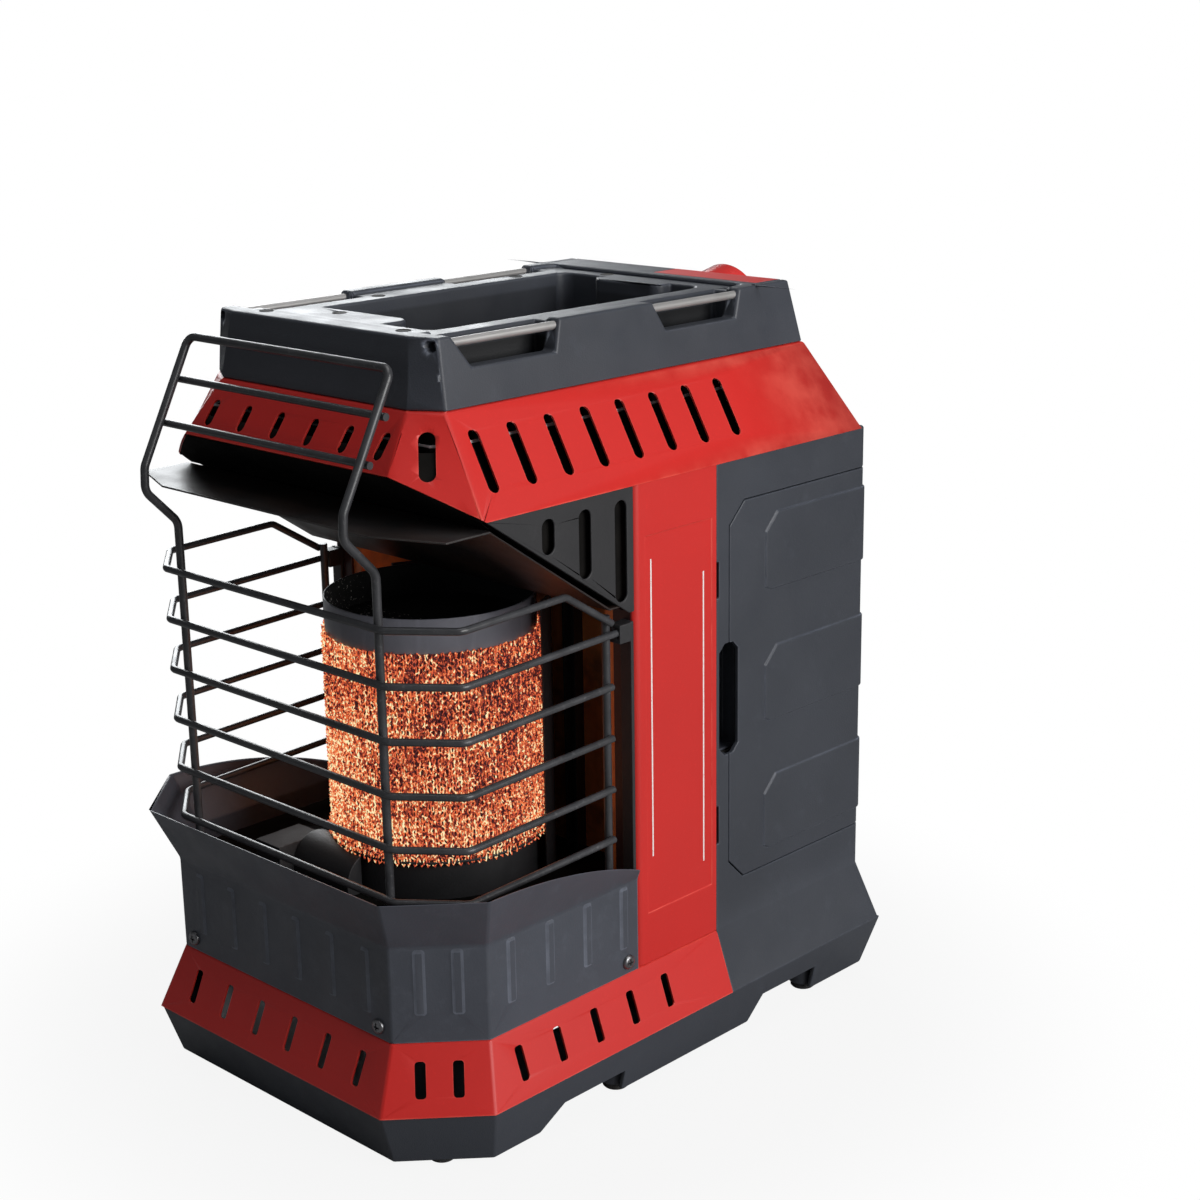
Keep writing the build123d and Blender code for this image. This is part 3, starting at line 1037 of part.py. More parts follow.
with BuildPart() as deflector:
    half = HALF_WIDTH - CHEEK_SHEET
    front_y = COLLAR_TRIM_Y + 3.5
    t = DEFLECTOR_SHEET
    with BuildSketch(Plane.XY.offset(DEFLECTOR_FRONT_Z)):
        Polygon(*[(-x, y) for x, y in DEFLECTOR_PLAN], *reversed(DEFLECTOR_PLAN), align=None)
    extrude(amount=t)
    profile_across([
        (front_y, DEFLECTOR_FRONT_Z), (DEFLECTOR_BEND[0], DEFLECTOR_Z - t),
        (BULKHEAD_Y[0] - 1.2, DEFLECTOR_Z - t), (BULKHEAD_Y[0] - 1.2, DEFLECTOR_Z),
        (DEFLECTOR_BEND[0] + 0.3, DEFLECTOR_Z), (front_y, DEFLECTOR_FRONT_Z + t),
    ], -half, half)
    for side in (1, -1):
        x = sorted((side * (HALF_WIDTH - 15), side * 2 * HALF_WIDTH))
        block(x, (STRIP_FRONT_Y - 0.2, BULKHEAD_Y[1]), (0, COLLAR_SIDE_Z), Mode.SUBTRACT)
deflector.part.label = "deflector"

with BuildPart() as right_cheek:
    profile_across([
        CHEEK_FRONT, CHEEK_REAR, (STRIP_FRONT_Y, CHEEK_REAR[1]), (STRIP_FRONT_Y, COLLAR_SIDE_Z),
        (CHEEK_FRONT[0], COLLAR_SIDE_Z),
    ], HALF_WIDTH - CHEEK_SHEET, HALF_WIDTH)
    with BuildSketch(Plane.YZ.offset(HALF_WIDTH)):
        for shift, length in CHEEK_SLOTS:
            with Locations((STRIP_FRONT_Y + shift, COLLAR_SIDE_Z - 5.5 - length / 2)):
                SlotOverall(length, 7.6, rotation=90)
    extrude(amount=-2 * CHEEK_SHEET, mode=Mode.SUBTRACT)
right_cheek.part.label = "right_cheek"

with BuildPart() as left_cheek:
    mirror(right_cheek.part, about=Plane.YZ)
left_cheek.part.label = "left_cheek"

# ================================================================ wire guard
UPRIGHT_RADIUS = 2.0
HOOP_RADIUS = 1.75
UPRIGHT_X = HALF_WIDTH - 36.7
ARCH_BEND = 8.0
ARCH_TOP_BEND = 5.0
UPRIGHT_Y = WALL_FRONT_Y + 8.6
ARCH_SIDE = [
    (UPRIGHT_Y, CHAMBER_TOP_Z), (UPRIGHT_Y, COLLAR_SIDE_Z - 22.5), (UPRIGHT_Y - 16.9, COLLAR_SIDE_Z - 5.0),
    (UPRIGHT_Y - 16.2, COLLAR_SIDE_Z + 6.5), (UPRIGHT_Y + 13.3, TRAY_TOP_Z - 10.5),
]
HOOP_Y = UPRIGHT_Y - UPRIGHT_RADIUS - HOOP_RADIUS
HOOP_X = HALF_WIDTH - 3.0
HOOP_CORNER = (HALF_WIDTH - 29.7, WALL_FRONT_Y + 26.1)
HOOP_PITCH = 25.1
HOOP_Z = [COLLAR_SIDE_Z - 45.8 - i * HOOP_PITCH for i in range(6)]
HOOP_RISE = 2.6
HOOP_END_Y = STRIP_FRONT_Y - 12.3
REAR_WIRE_X = HOOP_X - HOOP_RADIUS - UPRIGHT_RADIUS
CROSS_SHARES = (0.69, 0.355)

with BuildPart() as guard_arch:
    side_line = [(UPRIGHT_X, y, z) for y, z in ARCH_SIDE]
    side_bends = [ARCH_BEND] * (len(side_line) - 2)
    bends = side_bends + [ARCH_TOP_BEND] * 2 + side_bends
    round_bar([(-x, y, z) for x, y, z in side_line] + side_line[::-1], bends, UPRIGHT_RADIUS)
guard_arch.part.label = "guard_arch"

with BuildPart() as guard_cross_wires:
    (low_y, low_z), (high_y, high_z) = ARCH_SIDE[-2:]
    rise = hypot(high_y - low_y, high_z - low_z)
    step = UPRIGHT_RADIUS + HOOP_RADIUS
    for share in CROSS_SHARES:
        y = low_y + (high_y - low_y) * share + step * (high_z - low_z) / rise
        z = low_z + (high_z - low_z) * share - step * (high_y - low_y) / rise
        bar_between((-UPRIGHT_X - 2.4, y, z), (UPRIGHT_X + 2.4, y, z), HOOP_RADIUS)
guard_cross_wires.part.label = "guard_cross_wires"

with BuildPart() as guard_hoops:
    for i, z in enumerate(HOOP_Z):
        side_line = [(HOOP_CORNER[0], HOOP_Y, z), (HOOP_X, HOOP_CORNER[1], z)]
        if i == 0:
            side_line += [(HOOP_X, HOOP_END_Y - 29.4, z + 1.6), (HOOP_X, HOOP_END_Y, z - 17.0)]
        else:
            end_y = HOOP_END_Y + (4.5 if i == 1 else 0)
            side_line += [(HOOP_X, end_y, z + HOOP_RISE)]
        round_bar([(-x, y, z) for x, y, z in side_line[::-1]] + side_line, 6, HOOP_RADIUS)
guard_hoops.part.label = "guard_hoops"

with BuildPart() as guard_rear_wires:
    for side in (1, -1):
        bar_between(
            (side * REAR_WIRE_X, HOOP_END_Y, CHAMBER_TOP_Z), (side * REAR_WIRE_X, HOOP_END_Y, HOOP_Z[0] - 14),
            UPRIGHT_RADIUS,
        )
guard_rear_wires.part.label = "guard_rear_wires"

with BuildPart() as right_guard_bracket:
    clip_x = (HALF_WIDTH - 7.5, HALF_WIDTH - 0.5)
    block(clip_x, (STRIP_FRONT_Y - 2, STRIP_FRONT_Y), (CHAMBER_TOP_Z + 14, DEFLECTOR_Z - 9))
    block(
        clip_x, (HOOP_END_Y + 3, STRIP_FRONT_Y),
        (HOOP_Z[1] + HOOP_RISE - 5, HOOP_Z[1] + HOOP_RISE + 4),
    )
    bar_between(
        (HOOP_X, HOOP_END_Y, HOOP_Z[1] + HOOP_RISE), (HOOP_X, HOOP_END_Y + 4.5 + FIT, HOOP_Z[1] + HOOP_RISE),
        HOOP_RADIUS + FIT, Mode.SUBTRACT,
    )
right_guard_bracket.part.label = "right_guard_bracket"

with BuildPart() as left_guard_bracket:
    mirror(right_guard_bracket.part, about=Plane.YZ)
left_guard_bracket.part.label = "left_guard_bracket"

# ================================================================ gas supply
BOTTLE_Y = CASE_REAR_Y - 57.0
REGULATOR_Z = (COLLAR_SIDE_Z - 23.0, COLLAR_SIDE_Z - 7.0)
SOCKET_Z = REGULATOR_Z[0] - 14.0
SOCKET_RADIUS = 12.7
SOCKET_DEPTH = 12.0

with BuildPart() as regulator:
    bar_between((0, BOTTLE_Y, REGULATOR_Z[0]), (0, BOTTLE_Y, REGULATOR_Z[1]), 22)
    bar_between((0, BOTTLE_Y, SOCKET_Z), (0, BOTTLE_Y, REGULATOR_Z[0]), 16.5)
    bar_between((0, BOTTLE_Y, SOCKET_Z), (0, BOTTLE_Y, SOCKET_Z + SOCKET_DEPTH), SOCKET_RADIUS, Mode.SUBTRACT)
regulator.part.label = "regulator"

with BuildPart() as regulator_bracket:
    block((-24, 24), (BULKHEAD_Y[1], BOTTLE_Y + 24), (REGULATOR_Z[1], REGULATOR_Z[1] + 1.5))
    block((-24, 24), (BULKHEAD_Y[1], BULKHEAD_Y[1] + 1.5), (REGULATOR_Z[1] - 14, REGULATOR_Z[1]))
regulator_bracket.part.label = "regulator_bracket"

VALVE_BACK = KNOB_PLANE.offset(-VALVE_FACE - 18)
PORT = VALVE_BACK.origin
DOWN = VALVE_BACK.y_dir     # down the slope of the tray's rear face
with BuildPart() as supply_pipe:
    inlet = PORT + DOWN * 13
    turn = inlet + DOWN * 14
    round_bar([
        (22, BOTTLE_Y, sum(REGULATOR_Z) / 2), (34, BOTTLE_Y, sum(REGULATOR_Z) / 2),
        (34, BOTTLE_Y, turn.Z), (34, turn.Y, turn.Z), tuple(turn), tuple(inlet),
    ], 5, PIPE_RADIUS)
supply_pipe.part.label = "supply_pipe"

with BuildPart() as burner_pipe:
    outlet = PORT + Vector(-12, 0, 0)
    turn_z = COLLAR_TOP_Z - 17
    round_bar([
        tuple(outlet), (-34, outlet.Y, outlet.Z), (-34, outlet.Y, turn_z), (-34, FEED_Y, turn_z),
        (-34, FEED_Y, TUBE_Z), (-14, FEED_Y, TUBE_Z),
    ], 6, PIPE_RADIUS)
burner_pipe.part.label = "burner_pipe"

with BuildPart() as pilot_pipe:
    outlet = PORT + Vector(9, 0, 0) + DOWN * 7
    turn = outlet + DOWN * 8
    run_z = CHAMBER_Z - 7.5
    round_bar([
        tuple(outlet), tuple(turn), (PILOT_X, turn.Y, turn.Z), (PILOT_X, FEED_Y, turn.Z),
        (PILOT_X, FEED_Y, run_z), (PILOT_X, PILOT_Y, run_z), (-20, PILOT_Y, run_z),
        (-20, PILOT_Y, CHAMBER_TOP_Z),
    ], 4, PILOT_PIPE_RADIUS)
pilot_pipe.part.label = "pilot_pipe"

with BuildPart() as hose_inlet:
    x, z = INLET
    bar_between((x, CASE_REAR_Y - 8, z), (x, CASE_REAR_Y + 2, z), 6)
    bar_between((x, CASE_REAR_Y - 8, z), (x, CASE_REAR_Y - PLASTIC, z), 8)
    with BuildSketch(Plane(origin=(x, CASE_REAR_Y, z), z_dir=(0, 1, 0))):
        RegularPolygon(8, 6)
    extrude(amount=3)
    bar_between((x, CASE_REAR_Y + 3, z), (x, REAR_FOOT_Y - 0.1, z), 5)
    bar_between((x, CASE_REAR_Y - 4, z), (x, REAR_FOOT_Y, z), 2.5, Mode.SUBTRACT)
hose_inlet.part.label = "hose_inlet"

with BuildPart() as inlet_pipe:
    x, z = INLET
    round_bar([(x, CASE_REAR_Y - 8, z), (x, BOTTLE_Y, z), (-22, BOTTLE_Y, z)], 8, PIPE_RADIUS)
inlet_pipe.part.label = "inlet_pipe"

SWITCH_HEIGHT = 26.0

with BuildPart() as tip_switch:
    x, y = -0.65 * HALF_WIDTH, BOTTLE_Y
    top = FLOOR_TOP_Z + SWITCH_HEIGHT
    block((x - 12, x + 12), (y - 8, y + 8), (FLOOR_TOP_Z, top))
    block((x - 16, x + 16), (y - 8, y + 8), (FLOOR_TOP_Z, FLOOR_TOP_Z + 1.5))
    bar_between((x, y, top), (x, y, top + 3), 5)
tip_switch.part.label = "tip_switch"

PIECES = (
    base_tray, foot_pads, lower_skirt, burner_bowl, bowl_screws, left_strip, right_strip, rear_case,
    left_door, right_door, hinge_pins, door_catches, upper_collar, collar_liner, top_tray,
    left_side_rod, right_side_rod, control_cover, control_panel, control_knob, valve_stem, gas_valve,
    piezo_igniter, bulkhead, chamber_floor, reflector, reflector_channels, burner_plenum, burner_core,
    burner_mesh, burner_cap, burner_shield, mixing_tube, orifice_holder, pilot_hood, pilot_bracket,
    pilot_burner, thermocouple, igniter_electrode, deflector, left_cheek, right_cheek, guard_arch,
    guard_cross_wires, guard_hoops, guard_rear_wires, left_guard_bracket, right_guard_bracket,
    regulator, regulator_bracket, supply_pipe, burner_pipe, pilot_pipe, hose_inlet, inlet_pipe,
    tip_switch,
)
os.makedirs("parts", exist_ok=True)
for piece in PIECES:
    export_step(piece.part, f"parts/{piece.part.label}.step")
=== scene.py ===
"""Portable propane heater: finishes, detailed pieces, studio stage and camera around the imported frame."""
import json
from math import cos, pi, radians, sin

import bmesh
import bpy
from bpy.props import FloatProperty, FloatVectorProperty, IntProperty, PointerProperty
from mathutils import Matrix, Vector


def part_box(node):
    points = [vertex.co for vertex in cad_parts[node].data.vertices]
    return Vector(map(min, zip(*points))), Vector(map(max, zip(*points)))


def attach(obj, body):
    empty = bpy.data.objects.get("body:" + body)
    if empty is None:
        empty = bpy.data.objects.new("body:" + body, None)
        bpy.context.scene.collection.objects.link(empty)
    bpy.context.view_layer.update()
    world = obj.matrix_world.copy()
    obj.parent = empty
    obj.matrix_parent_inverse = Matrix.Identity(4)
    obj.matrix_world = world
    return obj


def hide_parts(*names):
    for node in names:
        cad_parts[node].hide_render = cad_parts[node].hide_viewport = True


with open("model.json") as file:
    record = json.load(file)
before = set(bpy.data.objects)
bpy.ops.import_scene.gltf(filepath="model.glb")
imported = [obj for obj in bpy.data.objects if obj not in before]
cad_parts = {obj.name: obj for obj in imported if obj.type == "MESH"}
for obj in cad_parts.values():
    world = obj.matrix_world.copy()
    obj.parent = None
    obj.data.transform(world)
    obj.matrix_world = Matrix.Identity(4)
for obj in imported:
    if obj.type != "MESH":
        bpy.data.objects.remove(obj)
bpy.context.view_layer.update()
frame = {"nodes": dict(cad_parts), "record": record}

bl_info = {
    "name": "Propane Heater Finishes",
    "version": (1, 0, 0),
    "blender": (4, 5, 0),
    "location": "View3D > Sidebar > Heater",
    "description": "Builds the detailed pieces, finishes and stage of a portable propane heater",
    "category": "Object",
}

MM = 0.001
UP = Vector((0, 0, 1))
ALL_CREASES, FOLDS = (30.0, 181.0), (16.0, 75.0)                # angles that are rounded, in degrees
SHORT_RUN, FOLD_RUN, BOWL_RUN, STRIP_RUN = 12 * MM, 20 * MM, 36 * MM, 45 * MM   # shorter runs stay sharp
RIB_LENGTH, RIB_WIDTH = (29 * MM, 35 * MM), (4 * MM, 8 * MM)    # flat tops of the bowl's ribs
RIB_INSET, RIB_RISE = 1.3 * MM, 1.7 * MM
KNIT_DEPTH = 2.6 * MM                                           # from the sleeve's outside to its backing
NODES = frame["nodes"]
BODY_OF = {node: body for body, nodes in frame["record"]["behaviour"]["bodies"].items() for node in nodes}
SLOT_OF = {part["node"]: part["material_slot"] for part in frame["record"]["subparts"]}

MESH_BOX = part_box("burner_mesh")
MESH_RADIUS = (MESH_BOX[1].x - MESH_BOX[0].x) / 2
BURNER_Y = (MESH_BOX[1].y + MESH_BOX[0].y) / 2
CAP_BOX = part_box("burner_cap")
CAP_RADIUS = (CAP_BOX[1].x - CAP_BOX[0].x) / 2

# paths of the wires' middle lines, in mm
WIRE_SIDES = {"bright_wire": 32, "wire_coating": 14}
ROD_RADIUS = 2.0
UPRIGHT_X, UPRIGHT_Y, WIRE_FOOT_Z = 71.3, -141.0, 96.7
ARCH_SIDE = [(UPRIGHT_Y, WIRE_FOOT_Z), (UPRIGHT_Y, 276.5), (-157.9, 294.0), (-157.2, 305.5), (-127.7, 362.7)]
HOOP_START_X, HOOP_X, HOOP_CORNER_Y, HOOP_END_Y = 78.3, 105.0, -123.5, -31.3
HOOP_TOP_Z, HOOP_STEP, HOOPS = 253.2, 25.1, 6
CROSS_OFFSET = 3.75     # from the arch's middle line to a wire that lies on it
POST_X, POST_TOP_Z = 101.25, 239.2

# inner forms: corners and outlines in mm, lengths in metres
HEAT_BOX = (-72, -106, 319), (72, 86, 341.8)
PILOT_PLATE = (-56, -119, 98), (-37.6, -92, 113.6)
CUP_SEAL = (92, 50, 148.0), (101, 64, 150.4)
CHEEK_REACH, CHEEK_GAP = 106.4 * MM, 4.0 * MM
SCREEN_FOOT = [(99.5, 84, 301), (99.5, -102, 301), (86, -114, 303.5)]
SCREEN_TOP = [(81.4, 84, 328), (81.4, -104, 328), (76, -112, 328)]
SCREEN_THICKNESS = 1.1 * MM

# outlines of small turned forms and places of small pieces, in mm
WELD_LUMP = (0, -0.5), (0.62, -0.2), (0.75, 0.1), (0.45, 0.5), (0, 0.62)
# flat dark disc with a raised ring, laid over each of the tray's holes as painted shade, and its places
HOLE_SHADE_DISC = (0, 0.06), (2.9, 0.06), (3.1, 0.22), (3.4, 0.22), (3.6, -0.1), (0, -0.1)
HOLE_SHADE_SPOTS = ((-48.0, -99.8, 373.2), (48.0, -99.8, 373.2), (-26.6, -74.0, 371.2), (-56.0, -25.0, 371.2),
               (-55.0, 68.0, 371.2), (-22.3, 102.5, 371.2))
FRONT_SCREW, SIDE_SCREW = (69.5, -149.6, 66.5), (108.0, -26.2, 66.5)
WELD_TURN, WELD_LUMPS, WELD_START, WELD_STEP = 33.0, 11, 1.2, 1.45     # turn in degrees

# places where a finish changes, as the limits of its share, in metres
STRIP_SHADE_LIMITS = 0.1062, 0.1050       # distance from the middle plane, within which the strips get painted shade
BELOW_RIM = 0.3655, 0.3640          # height in the tray, below which its hollows get painted shade
# limits of the tray's painted shade along y and across x
BEHIND_FRONT, BEFORE_REAR = (-0.1030, -0.1020), (0.0905, 0.0895)
WITHIN_WELL, BESIDE_WELL, WITHIN_SIDES = (0.0492, 0.0488), (0.0492, 0.0497), (0.0705, 0.0698)
SCREEN_HIGHLIGHT_LIMITS = 0.3269, 0.3273          # height of the slot screen's upper edge, above which it gets a painted highlight
PRINTED_LINES = ((-7.0, 114.7, 262.0), (29.8, 100.8, 248.8))    # middle y, lowest and highest z, in mm
PRINTED_HALF = 0.45 * MM

# stage, in metres and degrees
WHITE, SKY, FLOOR_GREY = (1, 1, 1), (0.93, 0.96, 1.0), (0.30, 0.30, 0.30)
FLOOR_HALF, FLOOR_FADE = 6.0, (0.18, 0.36)
LAMP_TARGET = Vector((0, -0.02, 0.18))
CAMERA_TARGET, CAMERA_DISTANCE = Vector((0.2103, -0.1479, 0.2923)), 0.8044
CAMERA_ANGLES = (43.93, 15.98, -0.88)       # azimuth from the front, elevation and roll
SENSOR = 36.0
FOCAL_SHARE = 2127.8 / 1200.0               # focal length over the frame's width


# ---- sizes and colours a user may change
def colour_field(name, text, value):
    return FloatVectorProperty(name=name, description=text, default=value, min=0, max=1, subtype="COLOR")


def length_field(name, text, value):
    return FloatProperty(name=name, description=text, default=value, min=0, unit="LENGTH", precision=5)


class HeaterSizes(bpy.types.PropertyGroup):
    sheet_edge: length_field("Sheet edge", "Rounding along the edges of pressed sheet", 0.00045)
    fold: length_field("Fold", "Rounding along the folds of pressed sheet", 0.0012)
    moulded_edge: length_field("Moulded edge", "Rounding along the edges of moulded plastic", 0.0009)
    tray_edge: length_field("Tray edge", "Rounding along the edges of the top tray", 0.0014)
    upright_radius: length_field("Arch wire radius", "Radius of the guard's arch and posts", 0.002)
    hoop_radius: length_field("Hoop wire radius", "Radius of the guard's hoops and cross wires", 0.00175)
    arch_bend: length_field("Arch bend", "Bend along the arch's legs", 0.008)
    arch_top_bend: length_field("Arch top bend", "Bend at the arch's top corners", 0.005)
    hoop_bend: length_field("Hoop bend", "Bend at the hoops' corners", 0.006)
    yarn_radius: length_field("Knit wire radius", "Radius of the burner sleeve's knitted wire", 0.00045)
    courses: IntProperty(name="Knit courses", description="Rows of stitches in the sleeve", default=36, min=4)
    stitches: IntProperty(name="Knit stitches", description="Stitches in one row", default=110, min=8)


class HeaterColours(bpy.types.PropertyGroup):
    enamel: colour_field("Red enamel", "Colour of the red painted sheet", (0.560, 0.016, 0.012))
    charcoal: colour_field("Charcoal plastic", "Colour of the moulded pieces", (0.0370, 0.0415, 0.0525))
    powder: colour_field("Charcoal paint", "Colour of the bowl's powder coat", (0.056, 0.062, 0.078))
    glow_peak: colour_field("Glow, peak", "Hottest colour of the knitted sleeve", (1.0, 0.88, 0.50))
    glow_hot: colour_field("Glow, hot", "Hot colour of the knitted sleeve", (0.96, 0.23, 0.055))
    glow_mid: colour_field("Glow, middle", "Middle colour of the knitted sleeve", (0.70, 0.095, 0.045))
    glow_low: colour_field("Glow, cool", "Coolest colour of the knitted sleeve", (0.040, 0.010, 0.012))
    knob: colour_field("Knob", "Colour of the control knob", (0.640, 0.025, 0.022))


# ---- finishes
class Tree:
    """A node tree, with short calls that make, feed and link its nodes."""

    def __init__(self, tree):
        self.tree = tree
        self.tree.nodes.clear()

    def node(self, kind, inputs=(), **facts):
        made = self.tree.nodes.new(kind)
        for key, value in facts.items():
            setattr(made, key, value)
        for key, value in dict(inputs).items():
            self.feed(made.inputs[key], value)
        return made

    def feed(self, socket, value):
        if isinstance(value, bpy.types.NodeSocket):
            self.tree.links.new(value, socket)
        else:
            socket.default_value = value

    def calc(self, operation, first, second=0.0):
        return self.node("ShaderNodeMath", {0: first, 1: second}, operation=operation).outputs[0]

    def vector(self, operation, inputs, output=0):
        return self.node("ShaderNodeVectorMath", inputs, operation=operation).outputs[output]

    def plus(self, first, second):
        return self.calc("ADD", first, second)

    def minus(self, first, second):
        return self.calc("SUBTRACT", first, second)

    def times(self, first, second):
        return self.calc("MULTIPLY", first, second)


class Recipe(Tree):
    """Node chain of one procedural finish on Object coordinates."""

    def __init__(self, name):
        self.material = bpy.data.materials.new(name)
        self.material.use_nodes = True
        super().__init__(self.material.node_tree)
        self.shader = self.node("ShaderNodeBsdfPrincipled")
        self.node("ShaderNodeOutputMaterial", {0: self.shader.outputs[0]})
        self.place = self.node("ShaderNodeTexCoord").outputs["Object"]

    def noise(self, scale, detail, rough=0.55, stretch=None):
        spot = self.place
        if stretch:
            spot = self.node("ShaderNodeMapping", {"Vector": spot, "Scale": stretch}).outputs[0]
        inputs = {"Scale": scale, "Detail": detail, "Roughness": rough, "Vector": spot}
        return self.node("ShaderNodeTexNoise", inputs).outputs["Fac"]

    def patches(self, scale, detail, span=(0.3, 0.7), to=(0.0, 1.0), rough=0.55, stretch=None):
        """Noise whose values within the span are spread over other limits."""
        return self.map(self.noise(scale, detail, rough, stretch), *span, *to)

    def cells(self, scale):
        return self.node("ShaderNodeTexVoronoi", {"Scale": scale, "Vector": self.place}).outputs["Distance"]

    def map(self, value, low, high, out_low=0.0, out_high=1.0):
        return self.node("ShaderNodeMapRange", {
            "Value": value, "From Min": low, "From Max": high, "To Min": out_low, "To Max": out_high,
        }).outputs["Result"]

    def mix(self, share, *colours):
        first, second = (c if isinstance(c, bpy.types.NodeSocket) else tone(c) for c in colours)
        return self.node("ShaderNodeMix", {0: share, 6: first, 7: second}, data_type="RGBA").outputs[2]

    def ramp(self, value, stops):
        made = self.node("ShaderNodeValToRGB", {0: value})
        points = made.color_ramp.elements
        while len(points) < len(stops):
            points.new(0.5)
        for point, (spot, colour) in zip(points, stops):
            point.position = spot
            point.color = tone(colour)
        return made.outputs["Color"]

    def axis(self, name):
        return self.node("ShaderNodeSeparateXYZ", {0: self.place}).outputs[name]

    def edges(self, radius):
        """Share that is 1 along outer and inner edges and 0 on flat faces."""
        rounded = self.node("ShaderNodeBevel", {"Radius": radius}, samples=6).outputs[0]
        flat = self.node("ShaderNodeNewGeometry").outputs["True Normal"]
        return self.map(self.vector("DOT_PRODUCT", {0: rounded, 1: flat}, "Value"), 0.995, 0.80)

    def bump(self, height, strength, distance):
        made = self.node("ShaderNodeBump", {"Strength": strength, "Distance": distance, "Height": height})
        self.feed(self.shader.inputs["Normal"], made.outputs[0])

    def coat(self, colour, roughness, **facts):
        """Feed the shader and give back the finished material."""
        for key, value in {"Base Color": colour, "Roughness": roughness, **facts}.items():
            value = tone(value) if isinstance(value, tuple) else value
            self.feed(self.shader.inputs[key.replace("_", " ")], value)
        return self.material


def tone(colour, gain=1.0):
    return (colour[0] * gain, colour[1] * gain, colour[2] * gain, 1.0)


def enamel(name, colour, stripes_and_shade=False):
    """Semi-gloss red enamel with faint orange peel and edges lightened unevenly as a painted highlight; on
    the strips also printed lines and painted shade on the inner flanges.
    """
    r = Recipe(name)
    paint = r.mix(r.patches(9.0, 4), tone(colour, 0.94), tone(colour, 1.03))
    specks = r.patches(650.0, 2, (0.60, 0.72))
    paint = r.mix(r.times(specks, 0.18), paint, tone(colour, 1.35))
    # Lighter red along the edges, patchy: a painted highlight.
    enamel_edge_highlight = r.times(r.edges(0.0009), r.patches(70.0, 5, (0.35, 0.62), (0.15, 0.75)))
    paint = r.mix(enamel_edge_highlight, paint, (0.80, 0.10, 0.07))
    if stripes_and_shade:
        paint = r.mix(stripe_share(r), paint, (0.80, 0.80, 0.79))
        # Near-black red on the strips' inner flanges: painted shade.
        within = r.map(r.calc("ABSOLUTE", r.axis("X")), *STRIP_SHADE_LIMITS)
        paint = r.mix(within, paint, (0.030, 0.008, 0.008))
    r.bump(r.noise(750.0, 2), 0.10, 0.0002)
    return r.coat(paint, r.patches(300.0, 3, to=(0.455, 0.470)))


def stripe_share(r):
    """Two thin printed lines down each red strip."""
    y, z = r.axis("Y"), r.axis("Z")
    shares = []
    for y_mid, z_low, z_high in PRINTED_LINES:
        across = r.calc("LESS_THAN", r.calc("ABSOLUTE", r.minus(y, y_mid * MM)), PRINTED_HALF)
        above = r.calc("GREATER_THAN", z, z_low * MM)
        below = r.calc("LESS_THAN", z, z_high * MM)
        shares.append(r.times(across, r.times(above, below)))
    ragged = r.patches(900.0, 2, (0.30, 0.42), (0.55, 0.95))
    return r.times(r.calc("MAXIMUM", *shares), ragged)


def moulded(name, colour, grain=1500.0, rough=0.46, shaded_hollows=False):
    """Moulded plastic with a fine etched grain, edges lightened unevenly as a painted highlight and, in the
    tray, hollows darkened as painted shade.
    """
    r = Recipe(name)
    shade = r.mix(r.patches(11.0, 4), tone(colour, 0.88), tone(colour, 1.12))
    scuffs = r.times(r.patches(60.0, 6, (0.58, 0.74), rough=0.7), 0.30)
    shade = r.mix(scuffs, shade, tone(colour, 1.7))
    # Lighter along the edges, patchy: a painted highlight.
    moulded_edge_highlight = r.times(r.edges(0.0012), r.patches(55.0, 4, (0.3, 0.6), (0.35, 0.95)))
    shade = r.mix(r.times(moulded_edge_highlight, 0.85), shade, tone(colour, 3.6))
    # Darker inside the tray, beside the well and in it: painted shade.
    if shaded_hollows:
        wide = r.calc("ABSOLUTE", r.axis("X"))
        middle = r.times(r.map(r.axis("Y"), *BEHIND_FRONT), r.map(r.axis("Y"), *BEFORE_REAR))
        inside = r.times(r.map(r.axis("Z"), *BELOW_RIM), middle)
        beside = r.times(r.map(wide, *BESIDE_WELL), r.map(wide, *WITHIN_SIDES))
        shade = r.mix(r.times(inside, beside), shade, tone(colour, 0.12))
        well = r.times(inside, r.map(wide, *WITHIN_WELL))
        shade = r.mix(r.times(well, 0.6), shade, tone(colour, 0.25))
    r.bump(r.plus(r.cells(grain), r.noise(grain * 0.6, 2)), 0.16, 0.00025)
    return r.coat(shade, r.patches(40.0, 4, to=(rough - 0.06, rough + 0.08)), Specular_IOR_Level=0.5)


def powder_coat(name, colour, rough=0.42):
    """Satin powder coat with a pebbled skin and bends lightened unevenly as a painted highlight."""
    r = Recipe(name)
    shade = r.mix(r.patches(14.0, 4), tone(colour, 0.85), tone(colour, 1.15))
    dust = r.times(r.patches(90.0, 5, (0.55, 0.75), rough=0.7), 0.25)
    shade = r.mix(dust, shade, tone(colour, 2.0))
    # Lighter along the bends, patchy: a painted highlight.
    bends = r.times(r.edges(0.0010), r.patches(80.0, 4, (0.3, 0.6), (0.25, 0.8)))
    shade = r.mix(r.times(bends, 0.8), shade, tone(colour, 3.2))
    r.bump(r.noise(900.0, 3), 0.22, 0.0003)
    return r.coat(shade, r.patches(50.0, 4, to=(rough - 0.05, rough + 0.09)))


